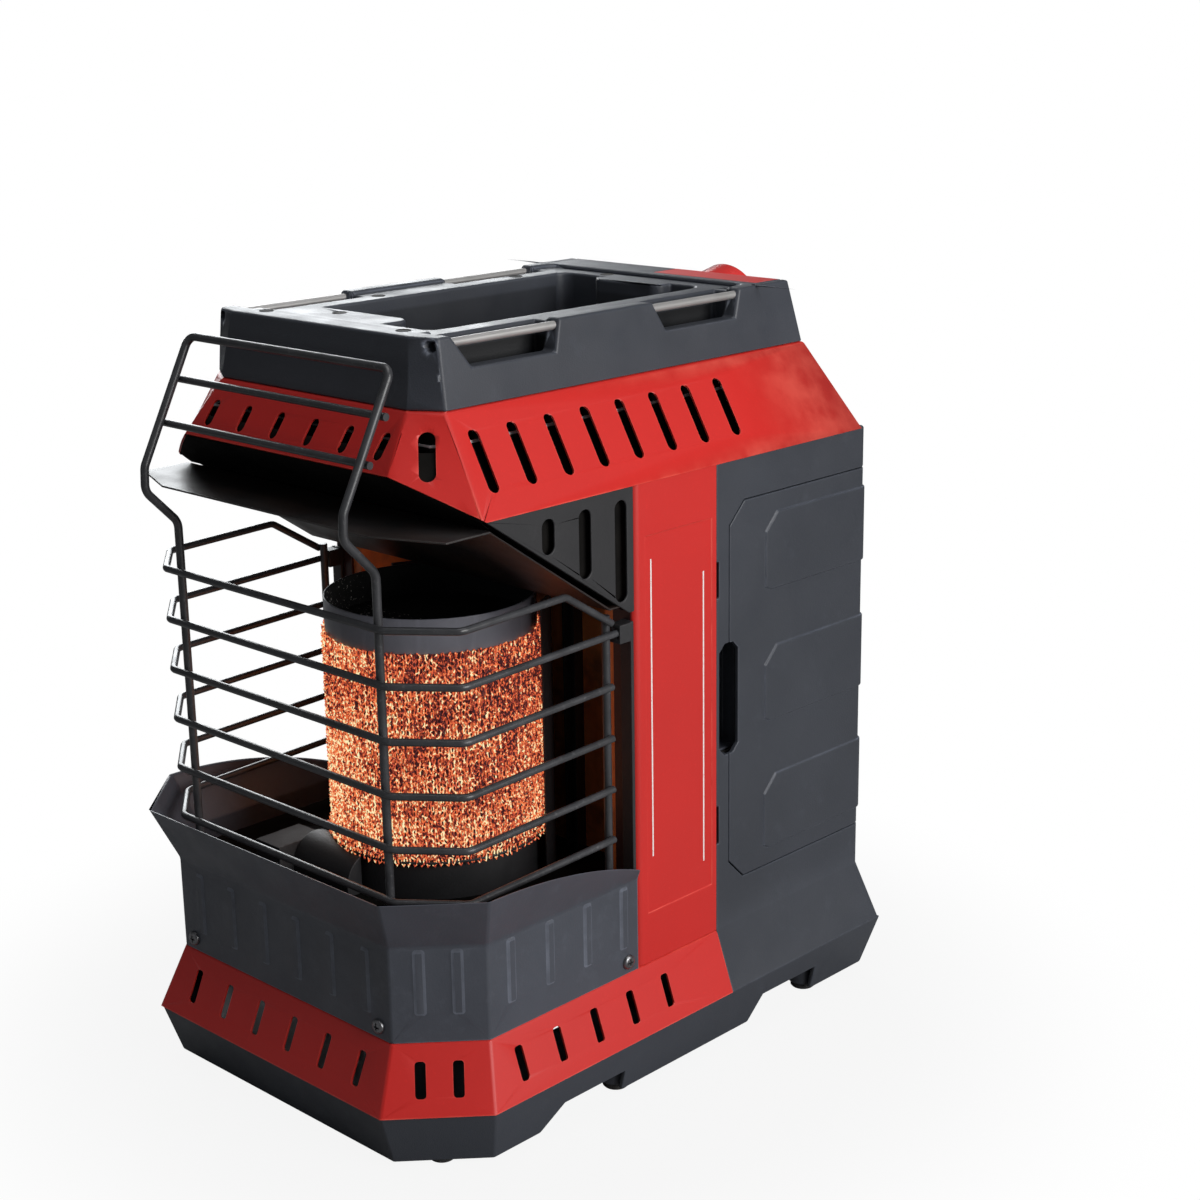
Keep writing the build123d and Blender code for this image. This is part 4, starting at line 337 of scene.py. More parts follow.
def cap_paint(name):
    """Satin grey paint outside, sooty black inside with pale crumbs along the brim."""
    r = Recipe(name)
    y = r.minus(r.axis("Y"), BURNER_Y)
    reach = r.calc("SQRT", r.plus(r.calc("POWER", r.axis("X"), 2.0), r.calc("POWER", y, 2.0)))
    inside = r.calc("LESS_THAN", reach, CAP_RADIUS - 0.7 * MM)
    shade = r.mix(r.patches(40.0, 5), (0.115, 0.117, 0.140), (0.165, 0.167, 0.195))
    streak = r.patches(150.0, 3, (0.55, 0.75), (0.0, 0.4), stretch=(1.0, 1.0, 0.1))
    shade = r.mix(streak, shade, (0.26, 0.26, 0.30))
    shade = r.mix(inside, shade, (0.006, 0.006, 0.006))
    near = r.times(inside, r.calc("LESS_THAN", y, 0.0))
    crumbs = r.patches(700.0, 2, (0.64, 0.70))
    shade = r.mix(r.times(near, crumbs), shade, (0.62, 0.60, 0.56))
    r.bump(r.noise(900.0, 3), 0.12, 0.0002)
    return r.coat(shade, r.map(inside, 0.0, 1.0, 0.34, 0.85))


def coated_wire(name):
    """Smooth satin coat over wire, greyer where it is scuffed."""
    r = Recipe(name)
    shade = r.mix(r.patches(60.0, 4), (0.030, 0.031, 0.034), (0.052, 0.053, 0.058))
    specks = r.times(r.patches(500.0, 3, (0.60, 0.75)), 0.35)
    shade = r.mix(specks, shade, (0.16, 0.16, 0.165))
    r.bump(r.noise(1200.0, 2), 0.08, 0.0001)
    return r.coat(shade, r.patches(120.0, 3, to=(0.28, 0.40)))


def heat_tinted_paint(name):
    """Matt black paint, browned where the burner's heat reaches it, with a painted highlight along its edges.
    """
    r = Recipe(name)
    y_share = r.map(r.axis("Y"), -0.150, -0.060)
    blotch = r.patches(28.0, 5, (0.35, 0.68), rough=0.65)
    heat = r.times(blotch, r.map(y_share, 0.0, 1.0, 0.35, 1.0))
    shade = r.mix(heat, (0.009, 0.009, 0.010), (0.030, 0.014, 0.009))
    # Grey along the edges: a painted highlight.
    shade = r.mix(r.times(r.edges(0.0010), 0.5), shade, (0.12, 0.115, 0.11))
    r.bump(r.noise(800.0, 3), 0.2, 0.0003)
    return r.coat(shade, r.patches(30.0, 4, to=(0.36, 0.52)))


def screen_sheet(name):
    """Near-black sheet as painted shade behind the slots, with a painted highlight along its upper edge."""
    r = Recipe(name)
    screen_edge_highlight = r.map(r.axis("Z"), *SCREEN_HIGHLIGHT_LIMITS)
    # Near black: painted shade behind the collar's slots.
    shade = r.mix(r.noise(60.0, 3), (0.005, 0.005, 0.0055), (0.009, 0.009, 0.009))
    # Near white along the upper edge: a painted highlight.
    shade = r.mix(screen_edge_highlight, shade, (0.90, 0.91, 0.93))
    r.bump(r.noise(900.0, 2), 0.1, 0.0002)
    return r.coat(shade, r.patches(40.0, 3, to=(0.65, 0.8)), Specular_IOR_Level=0.06)


def painted_shade_finish(name):
    """Dead black on sheet steel, standing in for shade."""
    r = Recipe(name)
    # Dead black: painted shade.
    shade = r.mix(r.patches(45.0, 5, (0.35, 0.7)), (0.003, 0.003, 0.003), (0.010, 0.009, 0.008))
    r.bump(r.noise(1100.0, 3), 0.2, 0.0002)
    return r.coat(shade, r.patches(70.0, 3, to=(0.75, 0.95)), Specular_IOR_Level=0.08)


def tinted_steel(name):
    """Bright sheet steel with straw, copper and violet heat colours."""
    r = Recipe(name)
    waves = r.noise(16.0, 5, 0.6, stretch=(1.0, 1.0, 0.45))
    colour = r.ramp(waves, (
        (0.28, (0.62, 0.26, 0.10)), (0.42, (0.74, 0.24, 0.07)), (0.54, (0.56, 0.15, 0.04)),
        (0.64, (0.26, 0.09, 0.06)), (0.76, (0.62, 0.32, 0.18)),
    ))
    brushed = r.noise(300.0, 3, stretch=(1.0, 1.0, 0.03))
    colour = r.mix(r.times(r.patches(45.0, 5, (0.52, 0.72)), 0.6), colour, (0.05, 0.04, 0.035))
    r.bump(brushed, 0.15, 0.0002)
    return r.coat(colour, r.map(brushed, 0.3, 0.7, 0.36, 0.54), Metallic=0.30)


def bright_rod(name):
    """Bright plated rod with fine drawn lines and a few dull patches."""
    r = Recipe(name)
    lines = r.noise(2600.0, 2, stretch=(1.0, 0.02, 1.0))
    dull = r.patches(70.0, 3, (0.45, 0.75), (0.0, 0.5))
    shade = r.mix(dull, (0.50, 0.49, 0.48), (0.36, 0.355, 0.35))
    return r.coat(shade, r.map(lines, 0.3, 0.7, 0.42, 0.50), Metallic=0.75)


def metal(name, colour, rough, grain=400.0, stain=None, stretch=None):
    """Bare or plated metal with drawn marks, dull spots and a painted highlight along the edges."""
    r = Recipe(name)
    marks = r.noise(grain, 4, stretch=stretch)
    spots = r.patches(55.0, 5, (0.45, 0.75), rough=0.65)
    shade = r.mix(spots, tone(colour), tone(stain or [c * 0.6 for c in colour]))
    # Lighter along the edges: a painted highlight.
    shade = r.mix(r.times(r.edges(0.0006), 0.6), shade, tone(colour, 1.25))
    r.bump(marks, 0.12, 0.00015)
    return r.coat(shade, r.map(marks, 0.3, 0.7, rough - 0.07, rough + 0.12), Metallic=1.0)


def rubber(name):
    """Dull rubber with dusty patches."""
    r = Recipe(name)
    shade = r.mix(r.patches(120.0, 5, (0.4, 0.7)), (0.018, 0.018, 0.019), (0.060, 0.058, 0.055))
    r.bump(r.noise(1600.0, 3), 0.35, 0.0002)
    return r.coat(shade, r.patches(200.0, 3, to=(0.7, 0.9)))


def ceramic(name):
    """Unglazed white ceramic with brown stains."""
    r = Recipe(name)
    shade = r.mix(r.patches(160.0, 5, (0.45, 0.7)), (0.80, 0.77, 0.70), (0.45, 0.40, 0.34))
    r.bump(r.noise(1800.0, 2), 0.2, 0.0001)
    return r.coat(shade, r.patches(90.0, 3, to=(0.45, 0.7)))


def glowing(name, colours, scale, shift=0.0, gain=1.0):
    """Wire at glowing heat: hot specks over a cooler weave, hottest low on the open side."""
    r = Recipe(name)
    specks = r.noise(scale, 2, 0.6, stretch=(1.0, 1.0, 0.7))
    strands = r.noise(scale * 0.9, 2, 0.6, stretch=(1.0, 1.0, 0.10))
    weave = r.minus(r.plus(r.times(specks, 0.72), r.times(strands, 0.38)), 0.05)
    broad = r.patches(38.0, 3, to=(-0.040, 0.040))
    left = r.map(r.plus(r.axis("X"), r.axis("Y")), -0.130, 0.02, 0.032, -0.010)
    low = r.map(r.axis("Z"), 0.118, 0.220, 0.022, -0.018)
    heat = r.plus(r.plus(weave, broad), r.plus(left, low))
    glow = r.ramp(heat, [(spot + shift, tone(colour, gain)) for spot, colour in (
        (0.430, colours.glow_low), (0.460, [0.35 * c for c in colours.glow_mid]), (0.496, colours.glow_mid),
        (0.566, colours.glow_hot), (0.608, colours.glow_peak),
    )])
    r.bump(specks, 0.4, 0.0004)
    return r.coat((0.03, 0.015, 0.018), r.map(specks, 0.3, 0.7, 0.60, 0.80), Specular_IOR_Level=0.1,
                  Emission_Color=glow, Emission_Strength=1.0)


def knob_gloss(name, colour):
    """Glossy plastic under a clear coat, with a painted highlight along its edges."""
    r = Recipe(name)
    shade = r.mix(r.patches(40.0, 4), tone(colour, 0.92), tone(colour, 1.06))
    # Paler along the edges: a painted highlight.
    shade = r.mix(r.times(r.edges(0.0008), 0.35), shade, (0.9, 0.3, 0.26))
    r.bump(r.noise(900.0, 2), 0.05, 0.0001)
    return r.coat(shade, r.patches(60.0, 3, to=(0.16, 0.28)), Coat_Weight=0.4, Coat_Roughness=0.08)


FINISHES = {}


def make_finishes(colours):
    """One finish for each of the record's slots, and the extra ones for new pieces."""
    FINISHES.update({
        "charcoal_plastic": moulded("Charcoal moulded plastic", colours.charcoal),
        # The tray's hollows get painted shade.
        "tray_plastic": moulded("Charcoal tray plastic", colours.charcoal, shaded_hollows=True),
        "charcoal_paint": powder_coat("Charcoal powder coat", colours.powder),
        "red_paint": enamel("Red enamel", colours.enamel),
        "red_striped": enamel("Red enamel with printed lines", colours.enamel, stripes_and_shade=True),
        "black_paint": powder_coat("Black heat-proof paint", (0.018, 0.018, 0.020), rough=0.55),
        "wire_coating": coated_wire("Charcoal wire coating"),
        "heat_tinted_paint": heat_tinted_paint("Heat-browned black paint"),
        "red_plastic": knob_gloss("Red gloss plastic", colours.knob),
        "inner_plastic": moulded("Inner plastic", (0.10, 0.10, 0.10), grain=1100.0, rough=0.55),
        "pad_rubber": rubber("Black pad rubber"),
        "bright_wire": bright_rod("Bright plated rod"),
        "plated_screw": metal("Zinc-plated screw", (0.24, 0.24, 0.25), rough=0.34),
        "plain_steel": metal("Mill-finish steel", (0.36, 0.355, 0.35), rough=0.34, stretch=(1, 1, 0.05)),
        "heat_tinted_steel": tinted_steel("Heat-tinted steel"),
        "brass": metal("Machined brass", (0.72, 0.50, 0.20), rough=0.28, stain=(0.42, 0.27, 0.11)),
        "copper_tube": metal("Soft copper tube", (0.72, 0.36, 0.22), rough=0.30, stain=(0.36, 0.17, 0.10)),
        "electrode_ceramic": ceramic("Unglazed ceramic"),
        "glowing_mesh": glowing("Glowing knitted wire", colours, 620.0),
        "glow_backing": glowing("Glowing inner sleeve", colours, 520.0, shift=0.07, gain=0.5),
        "cap_paint": cap_paint("Satin cap paint"),
        "shade_black": painted_shade_finish("Soot on sheet"),
        "screen_sheet": screen_sheet("Black sheet with a bare upper edge"),
        "grey_sheet": powder_coat("Grey heat-dulled sheet", (0.022, 0.022, 0.024), rough=0.80),
        "weld_metal": metal("Weld bead", (0.55, 0.55, 0.56), rough=0.40, grain=900.0),
    })


# ---- mesh helpers
class Editing:
    """A mesh opened for editing and written back at the end."""

    def __init__(self, mesh):
        self.mesh, self.work = mesh, bmesh.new()

    def __enter__(self):
        self.work.from_mesh(self.mesh)
        return self.work

    def __exit__(self, *fault):
        self.work.to_mesh(self.mesh)
        self.work.free()


def settled(obj, smooth_angle):
    """Bake an object's modifiers into a plain mesh, with creases over the angle kept sharp."""
    bpy.context.view_layer.update()
    graph = bpy.context.evaluated_depsgraph_get()
    mesh = bpy.data.meshes.new_from_object(obj.evaluated_get(graph), depsgraph=graph)
    name = obj.name
    bpy.data.objects.remove(obj)
    if smooth_angle:
        mesh.shade_smooth()
        mesh.set_sharp_from_angle(angle=radians(smooth_angle))
    plain = bpy.data.objects.new(name, mesh)
    bpy.context.scene.collection.objects.link(plain)
    return plain


def new_piece(name, verts, edges=(), faces=()):
    mesh = bpy.data.meshes.new(name)
    mesh.from_pydata([tuple(v) for v in verts], list(edges), list(faces))
    made = bpy.data.objects.new(name, mesh)
    bpy.context.scene.collection.objects.link(made)
    return made


def finish_piece(piece, finish, body="heater"):
    """Give a piece its one finish and its body."""
    piece.data.materials.clear()
    piece.data.materials.append(FINISHES[finish])
    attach(piece, body)


def finish_as(piece, finish, node):
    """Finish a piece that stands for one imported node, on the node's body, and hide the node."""
    finish_piece(piece, finish, BODY_OF[node])
    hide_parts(node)


def merged_copy(node, name):
    """Joined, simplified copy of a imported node's mesh."""
    mesh = NODES[node].data.copy()
    mesh.name = name
    with Editing(mesh) as work:
        bmesh.ops.remove_doubles(work, verts=work.verts, dist=3e-6)
        bmesh.ops.dissolve_degenerate(work, dist=1e-6, edges=work.edges)
        bmesh.ops.dissolve_limit(work, angle_limit=radians(0.35), verts=work.verts, edges=work.edges)
        bmesh.ops.connect_verts_concave(work, faces=work.faces)
    made = bpy.data.objects.new(name, mesh)
    bpy.context.scene.collection.objects.link(made)
    return made


def round_edges(piece, width, segments=2, angles=ALL_CREASES, span=SHORT_RUN):
    """Small round along every run of creases wider than the span, with clean normals."""
    weights = piece.data.attributes.new("bevel_weight_edge", "FLOAT", "EDGE")
    work = bmesh.new()
    work.from_mesh(piece.data)
    low, high = (radians(angle) for angle in angles)
    creases = {e for e in work.edges if len(e.link_faces) == 2 and low < e.calc_face_angle() < high}
    while creases:
        run = [creases.pop()]
        for edge in run:
            near = creases.intersection(e for vert in edge.verts for e in vert.link_edges)
            creases -= near
            run += near
        spots = [vert.co for edge in run for vert in edge.verts]
        if max(max(along) - min(along) for along in zip(*spots)) > span:
            for edge in run:
                weights.data[edge.index].value = 1.0
    work.free()
    bevel = piece.modifiers.new("Edge round", "BEVEL")
    bevel.width = width
    bevel.segments = segments
    bevel.limit_method = "WEIGHT"
    bevel.use_clamp_overlap = False
    flat = settled(piece, smooth_angle=50.0)
    weigh = flat.modifiers.new("Even normals", "WEIGHTED_NORMAL")
    weigh.keep_sharp = True
    weigh.weight = 90
    return settled(flat, smooth_angle=None)


def dress(node, name, finish=None, **rounding):
    """The node's own form again, with rounded edges and a finish."""
    finish_as(round_edges(merged_copy(node, name), **rounding), finish or SLOT_OF[node], node)


def within(value, limits):
    return limits[0] < value < limits[1]


def slope_ribs(piece):
    """Raise the flat tops of the pressed ribs and draw them in, so that their sides slope."""
    moves = {}
    with Editing(piece.data) as work:
        for face in work.faces:
            spots = [v.co.copy() for v in face.verts]
            long = max((a - b).length for i, a in enumerate(spots) for b in spots[i + 1:])
            if not (within(long, RIB_LENGTH) and within(face.calc_area() / long, RIB_WIDTH)):
                continue
            for i, vert in enumerate(face.verts):
                sides = spots[i] - spots[i - 1], spots[(i + 1) % len(spots)] - spots[i]
                inward = sum((face.normal.cross(side).normalized() for side in sides), Vector())
                moves[vert] = inward.normalized() * RIB_INSET + face.normal * RIB_RISE
        for vert, move in moves.items():
            vert.co += move


# ---- geometry node trees
class Growth(Tree):
    """A Geometry Nodes tree with named inputs."""

    def __init__(self, name):
        super().__init__(bpy.data.node_groups.new(name, "GeometryNodeTree"))
        for way in ("INPUT", "OUTPUT"):
            self.tree.interface.new_socket(name="Geometry", in_out=way, socket_type="NodeSocketGeometry")
        self.start = self.node("NodeGroupInput")
        self.keys = {}

    def value(self, name, default, kind="Float"):
        socket = self.tree.interface.new_socket(name=name, in_out="INPUT", socket_type="NodeSocket" + kind)
        if default is not None:
            socket.default_value = default
        self.keys[name] = socket.identifier
        return self.start.outputs[name]

    def attribute(self, name, kind):
        return self.node("GeometryNodeInputNamedAttribute", {"Name": name}, data_type=kind).outputs[0]

    def circle(self, sides, radius):
        inputs = {"Resolution": sides, "Radius": radius}
        return self.node("GeometryNodeCurvePrimitiveCircle", inputs, mode="RADIUS").outputs[0]

    def tube(self, curve, profile, **inputs):
        inputs = {"Curve": curve, "Profile Curve": profile, **inputs}
        return self.node("GeometryNodeCurveToMesh", inputs).outputs[0]

    def close(self, geometry, finish):
        """End the tree with real geometry in one material."""
        real = self.node("GeometryNodeRealizeInstances", {0: geometry})
        coat = self.node("GeometryNodeSetMaterial", {"Geometry": real.outputs[0], "Material": finish})
        self.node("NodeGroupOutput", {0: coat.outputs[0]})
        return self

    def grow(self, piece, **inputs):
        """Run the tree on a piece and keep the plain mesh."""
        live = piece.modifiers.new("Growth", "NODES")
        live.node_group = self.tree
        for name, value in inputs.items():
            live[self.keys[name.replace("_", " ")]] = value
        return settled(piece, smooth_angle=40.0)


def wire_growth(finish):
    """Round wire along every run of edges, with bent corners."""
    g = Growth("Wire along path")
    radius = g.value("Wire radius", 0.002)
    sides = g.value("Sides", 14, "Int")
    curve = g.node("GeometryNodeMeshToCurve", {0: g.start.outputs[0]}).outputs[0]
    inputs = {0: curve, "Radius": g.attribute("bend", "FLOAT"), "Count": 7, "Limit Radius": True}
    bent = g.node("GeometryNodeFilletCurve", inputs, mode="POLY").outputs[0]
    return g.close(g.tube(bent, g.circle(sides, radius), **{"Fill Caps": True}), finish)


def knit_growth(finish):
    """Knitted sleeve: rows of looped yarn round an upright cylinder."""
    g = Growth("Knitted sleeve")
    radius = g.value("Sleeve radius", 0.053)
    height = g.value("Sleeve height", 0.1)
    courses = g.value("Courses", 30, "Int")
    stitches = g.value("Stitches", 60, "Int")
    yarn = g.value("Yarn radius", 0.0004)
    rumple = g.value("Rumple", 0.0009)
    seed = g.value("Seed", 7.0)
    loop = g.circle(g.times(stitches, 6.0), 1.0)
    rows = g.node("GeometryNodeMeshLine", {"Count": courses, "Offset": (0.0, 0.0, 1.0)})
    each = g.node("GeometryNodeInstanceOnPoints", {"Points": rows.outputs[0], "Instance": loop})
    real = g.node("GeometryNodeRealizeInstances", {0: each.outputs[0]})
    spot = g.node("ShaderNodeSeparateXYZ", {0: g.node("GeometryNodeInputPosition").outputs[0]})
    turn = g.calc("ARCTAN2", spot.outputs[1], spot.outputs[0])
    phase = g.times(turn, stitches)
    row = g.calc("ROUND", spot.outputs[2])
    pitch = g.calc("DIVIDE", height, courses)
    bow = g.times(g.calc("COSINE", phase), g.times(pitch, 0.78))
    side = g.calc("DIVIDE", g.calc("SINE", g.times(phase, 2.0)), stitches)
    angle = g.plus(turn, g.times(side, 0.85))
    swell = g.times(g.calc("COSINE", g.times(phase, 2.0)), g.times(yarn, 1.1))
    reach = g.plus(g.minus(radius, g.times(yarn, 2.4)), swell)
    lowest = g.calc("LESS_THAN", row, 0.5)
    reach = g.plus(reach, g.times(lowest, g.times(yarn, 3.0)))
    level = g.times(g.minus(g.plus(row, 0.5), g.times(lowest, 0.45)), pitch)
    lift = g.plus(level, bow)
    flat = g.node("ShaderNodeCombineXYZ", {
        0: g.times(g.calc("COSINE", angle), reach), 1: g.times(g.calc("SINE", angle), reach), 2: lift,
    }).outputs[0]
    inputs = {"Vector": flat, "Scale": 520.0, "Detail": 2.0, "W": seed}
    wander = g.node("ShaderNodeTexNoise", inputs, noise_dimensions="4D").outputs["Color"]
    centred = g.vector("SUBTRACT", {0: wander, 1: (0.5, 0.5, 0.5)})
    scaled = g.vector("SCALE", {0: centred, "Scale": g.times(rumple, 4.4)})
    placed = g.vector("ADD", {0: flat, 1: scaled})
    bent = g.node("GeometryNodeSetPosition", {"Geometry": real.outputs[0], "Position": placed}).outputs[0]
    return g.close(g.tube(bent, g.circle(3, yarn)), finish)


def place_growth(finish):
    """The same small form at every point, turned to the point's own direction."""
    g = Growth("Form at points")
    form = g.value("Form", None, "Object")
    aim = g.attribute("aim", "FLOAT_VECTOR")
    turned = g.node("FunctionNodeAlignRotationToVector", {"Vector": aim}, axis="Z")
    copy = g.node("GeometryNodeObjectInfo", {"Object": form})
    each = g.node("GeometryNodeInstanceOnPoints", {
        "Points": g.start.outputs[0], "Instance": copy.outputs["Geometry"], "Rotation": turned.outputs[0],
    })
    return g.close(each.outputs[0], finish)


def copies_at(name, finish, spots, form):
    """Copies of a form at (place, direction) pairs, as one plain mesh."""
    carrier = new_piece(name, [place for place, _ in spots])
    aim = carrier.data.attributes.new("aim", "FLOAT_VECTOR", "POINT")
    for i, (_, direction) in enumerate(spots):
        aim.data[i].vector = direction
    made = place_growth(FINISHES[finish]).grow(carrier, Form=form)
    bpy.data.objects.remove(form)
    return made


# ---- small forms
def ring(radius, height, sides):
    """Corners of a level ring round Z."""
    turns = [2 * pi * i / sides for i in range(sides)]
    return [(radius * cos(turn), radius * sin(turn), height) for turn in turns]


def walls(low, high, sides):
    """Quads between two rings of vertices that start at the numbers low and high."""
    return [(low + i, low + (i + 1) % sides, high + (i + 1) % sides, high + i) for i in range(sides)]


def spun(name, outline, sides):
    """Closed turned form about Z from (radius, height) pairs that start and end on the axis."""
    rows = outline[1:-1]
    verts = [(0, 0, outline[0][1])]
    for radius, height in rows:
        verts += ring(radius, height, sides)
    top, last = len(verts) - sides, len(verts)
    verts.append((0, 0, outline[-1][1]))
    faces = [(0, 1 + (i + 1) % sides, 1 + i) for i in range(sides)]
    for low in range(1, top, sides):
        faces += walls(low, low + sides, sides)
    faces += [(top + i, top + (i + 1) % sides, last) for i in range(sides)]
    made = new_piece(name, verts, faces=faces)
    with Editing(made.data) as work:
        bmesh.ops.recalc_face_normals(work, faces=work.faces)
    return made


def cross_head():
    """Pan head of a cross-recess screw, standing on the plane z = 0."""
    radius, height, sides = 3.6 * MM, 1.9 * MM, 24
    arm, half, floor = 0.56 * radius, 0.13 * radius, 0.45 * height
    rows = ((radius, 0.0), (radius, 0.45 * height), (0.86 * radius, 0.82 * height), (0.62 * radius, height))
    cross = [(half, half), (arm, half), (arm, -half), (half, -half), (half, -arm), (-half, -arm),
             (-half, -half), (-arm, -half), (-arm, half), (-half, half), (-half, arm), (half, arm)]
    verts = [vert for reach, level in rows for vert in ring(reach, level, sides)]
    faces = [tuple(range(sides))[::-1]]
    for row in range(len(rows) - 1):
        faces += walls(row * sides, (row + 1) * sides, sides)
    rim, top, count = len(verts) - sides, len(verts), len(cross)
    verts += [(x, y, height) for x, y in cross] + [(x * 0.6, y * 0.6, floor) for x, y in cross]
    faces += walls(top, top + count, count)
    faces.append(tuple(range(top + count, top + 2 * count)))
    made = new_piece("screw_form", verts, faces=faces)
    with Editing(made.data) as work:
        work.verts.ensure_lookup_table()
        loops = [work.edges.get((work.verts[first + i], work.verts[first + (i + 1) % length]))
                 for first, length in ((rim, sides), (top, count)) for i in range(length)]
        filled = bmesh.ops.triangle_fill(work, edges=loops, use_beauty=True)["geom"]
        over = [form for form in filled if isinstance(form, bmesh.types.BMFace)
                and inside_cross(form.calc_center_median(), arm, half)]
        bmesh.ops.delete(work, geom=over, context="FACES_ONLY")
        bmesh.ops.recalc_face_normals(work, faces=work.faces)
    return made


def inside_cross(spot, arm, half):
    x, y = abs(spot.x), abs(spot.y)
    return (x < arm and y < half) or (y < arm and x < half)


def box_form(name, low, high, corner=0.0):
    """Closed box between two corners in mm, with its four upright corners cut back."""
    (x0, y0, z0), (x1, y1, z1), c = low, high, corner
    plan = [(x0, y0), (x1, y0), (x1, y1), (x0, y1)]
    if c:
        plan = [(x0 + c, y0), (x1 - c, y0), (x1, y0 + c), (x1, y1 - c),
                (x1 - c, y1), (x0 + c, y1), (x0, y1 - c), (x0, y0 + c)]
    count = len(plan)
    verts = [(x * MM, y * MM, z * MM) for z in (z0, z1) for x, y in plan]
    ends = [tuple(range(count))[::-1], tuple(range(count, 2 * count))]
    return new_piece(name, verts, faces=ends + walls(0, count, count))


def closed_plate(node, name, reach, shift):
    """The part of a node's sheet beyond the reach, without its slots, a little smaller and moved sideways."""
    piece = merged_copy(node, name)
    outer = [v.co.copy() for v in piece.data.vertices if abs(v.co.x) >= reach]
    middle = sum(outer, Vector()) / len(outer)
    with Editing(piece.data) as work:
        work.clear()
        for x, y, z in outer:
            work.verts.new((x + shift, middle.y + 0.98 * (y - middle.y), middle.z + 0.98 * (z - middle.z)))
        bmesh.ops.convex_hull(work, input=work.verts)
        bmesh.ops.delete(work, geom=[v for v in work.verts if not v.link_faces], context="VERTS")
        bmesh.ops.recalc_face_normals(work, faces=work.faces)
    return settled(piece, 30.0)


def turned_form(name, outline, sides):
    """Turned form from an outline in mm."""
    return spun(name, [(radius * MM, height * MM) for radius, height in outline], sides)


def slot_screen():
    """Leaning band of sheet round the front, behind the collar's slots."""
    rows = [side + [(-x, y, z) for x, y, z in side[::-1]] for side in (SCREEN_FOOT, SCREEN_TOP)]
    count = len(rows[0])
    faces = [(i, i + 1, count + i + 1, count + i) for i in range(count - 1)]
    band = new_piece("slot_screen", [Vector(spot) * MM for row in rows for spot in row], faces=faces)
    sheet = band.modifiers.new("Sheet", "SOLIDIFY")
    sheet.thickness, sheet.offset = SCREEN_THICKNESS, 0.0
    return settled(band, 30.0)


def rod_path(side):
    """Middle line of a tray rod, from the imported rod's box."""
    low, high = (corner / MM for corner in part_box("right_side_rod"))
    x, z = side * (low.x + high.x) / 2, low.z + ROD_RADIUS
    return [(x, low.y, z), (x, high.y, z)]


def arch_path():
    """Arch from its left foot over the tray to its right foot."""
    return [(-UPRIGHT_X, y, z) for y, z in ARCH_SIDE] + [(UPRIGHT_X, y, z) for y, z in ARCH_SIDE[::-1]]


def hoop_paths():
    """Six hoops round the front: the top one bent down at its ends, the others cut off straight."""
    paths = []
    for i in range(HOOPS):
        z = HOOP_TOP_Z - HOOP_STEP * i
        side = [(HOOP_START_X, UPRIGHT_Y - CROSS_OFFSET, z), (HOOP_X, HOOP_CORNER_Y, z)]
        if i == 0:
            side += [(HOOP_X, -60.7, z + 1.6), (HOOP_X, HOOP_END_Y, z - 17.0)]
        else:
            side += [(HOOP_X, -26.8 if i == 1 else HOOP_END_Y, z + 2.6)]
        paths.append([(-x, y, z) for x, y, z in side[::-1]] + side)
    return paths


def cross_runs():
    """Two level wires across the arch's sloping top."""
    runs = []
    (low_y, low_z), (high_y, high_z) = ARCH_SIDE[-2:]
    rise = ((high_y - low_y) ** 2 + (high_z - low_z) ** 2) ** 0.5
    end = UPRIGHT_X + 2.4
    for share in (0.69, 0.355):
        y = low_y + (high_y - low_y) * share + CROSS_OFFSET * (high_z - low_z) / rise
        z = low_z + (high_z - low_z) * share - CROSS_OFFSET * (high_y - low_y) / rise
        runs.append([(-end, y, z), (end, y, z)])
    return runs


def post_runs():
    """Upright posts at the hoops' rear ends."""
    return [[(x, HOOP_END_Y, z) for z in (WIRE_FOOT_Z, POST_TOP_Z)] for x in (POST_X, -POST_X)]


# ---- operators
class HEATER_OT_finishes(bpy.types.Operator):
    """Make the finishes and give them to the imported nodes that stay"""
    bl_idname = "heater.finishes"
    bl_label = "Finishes"

    def execute(self, context):
        make_finishes(context.scene.heater_colours)
        for node, obj in NODES.items():
            obj.data.materials.clear()
            obj.data.materials.append(FINISHES[SLOT_OF[node]])
        return {"FINISHED"}


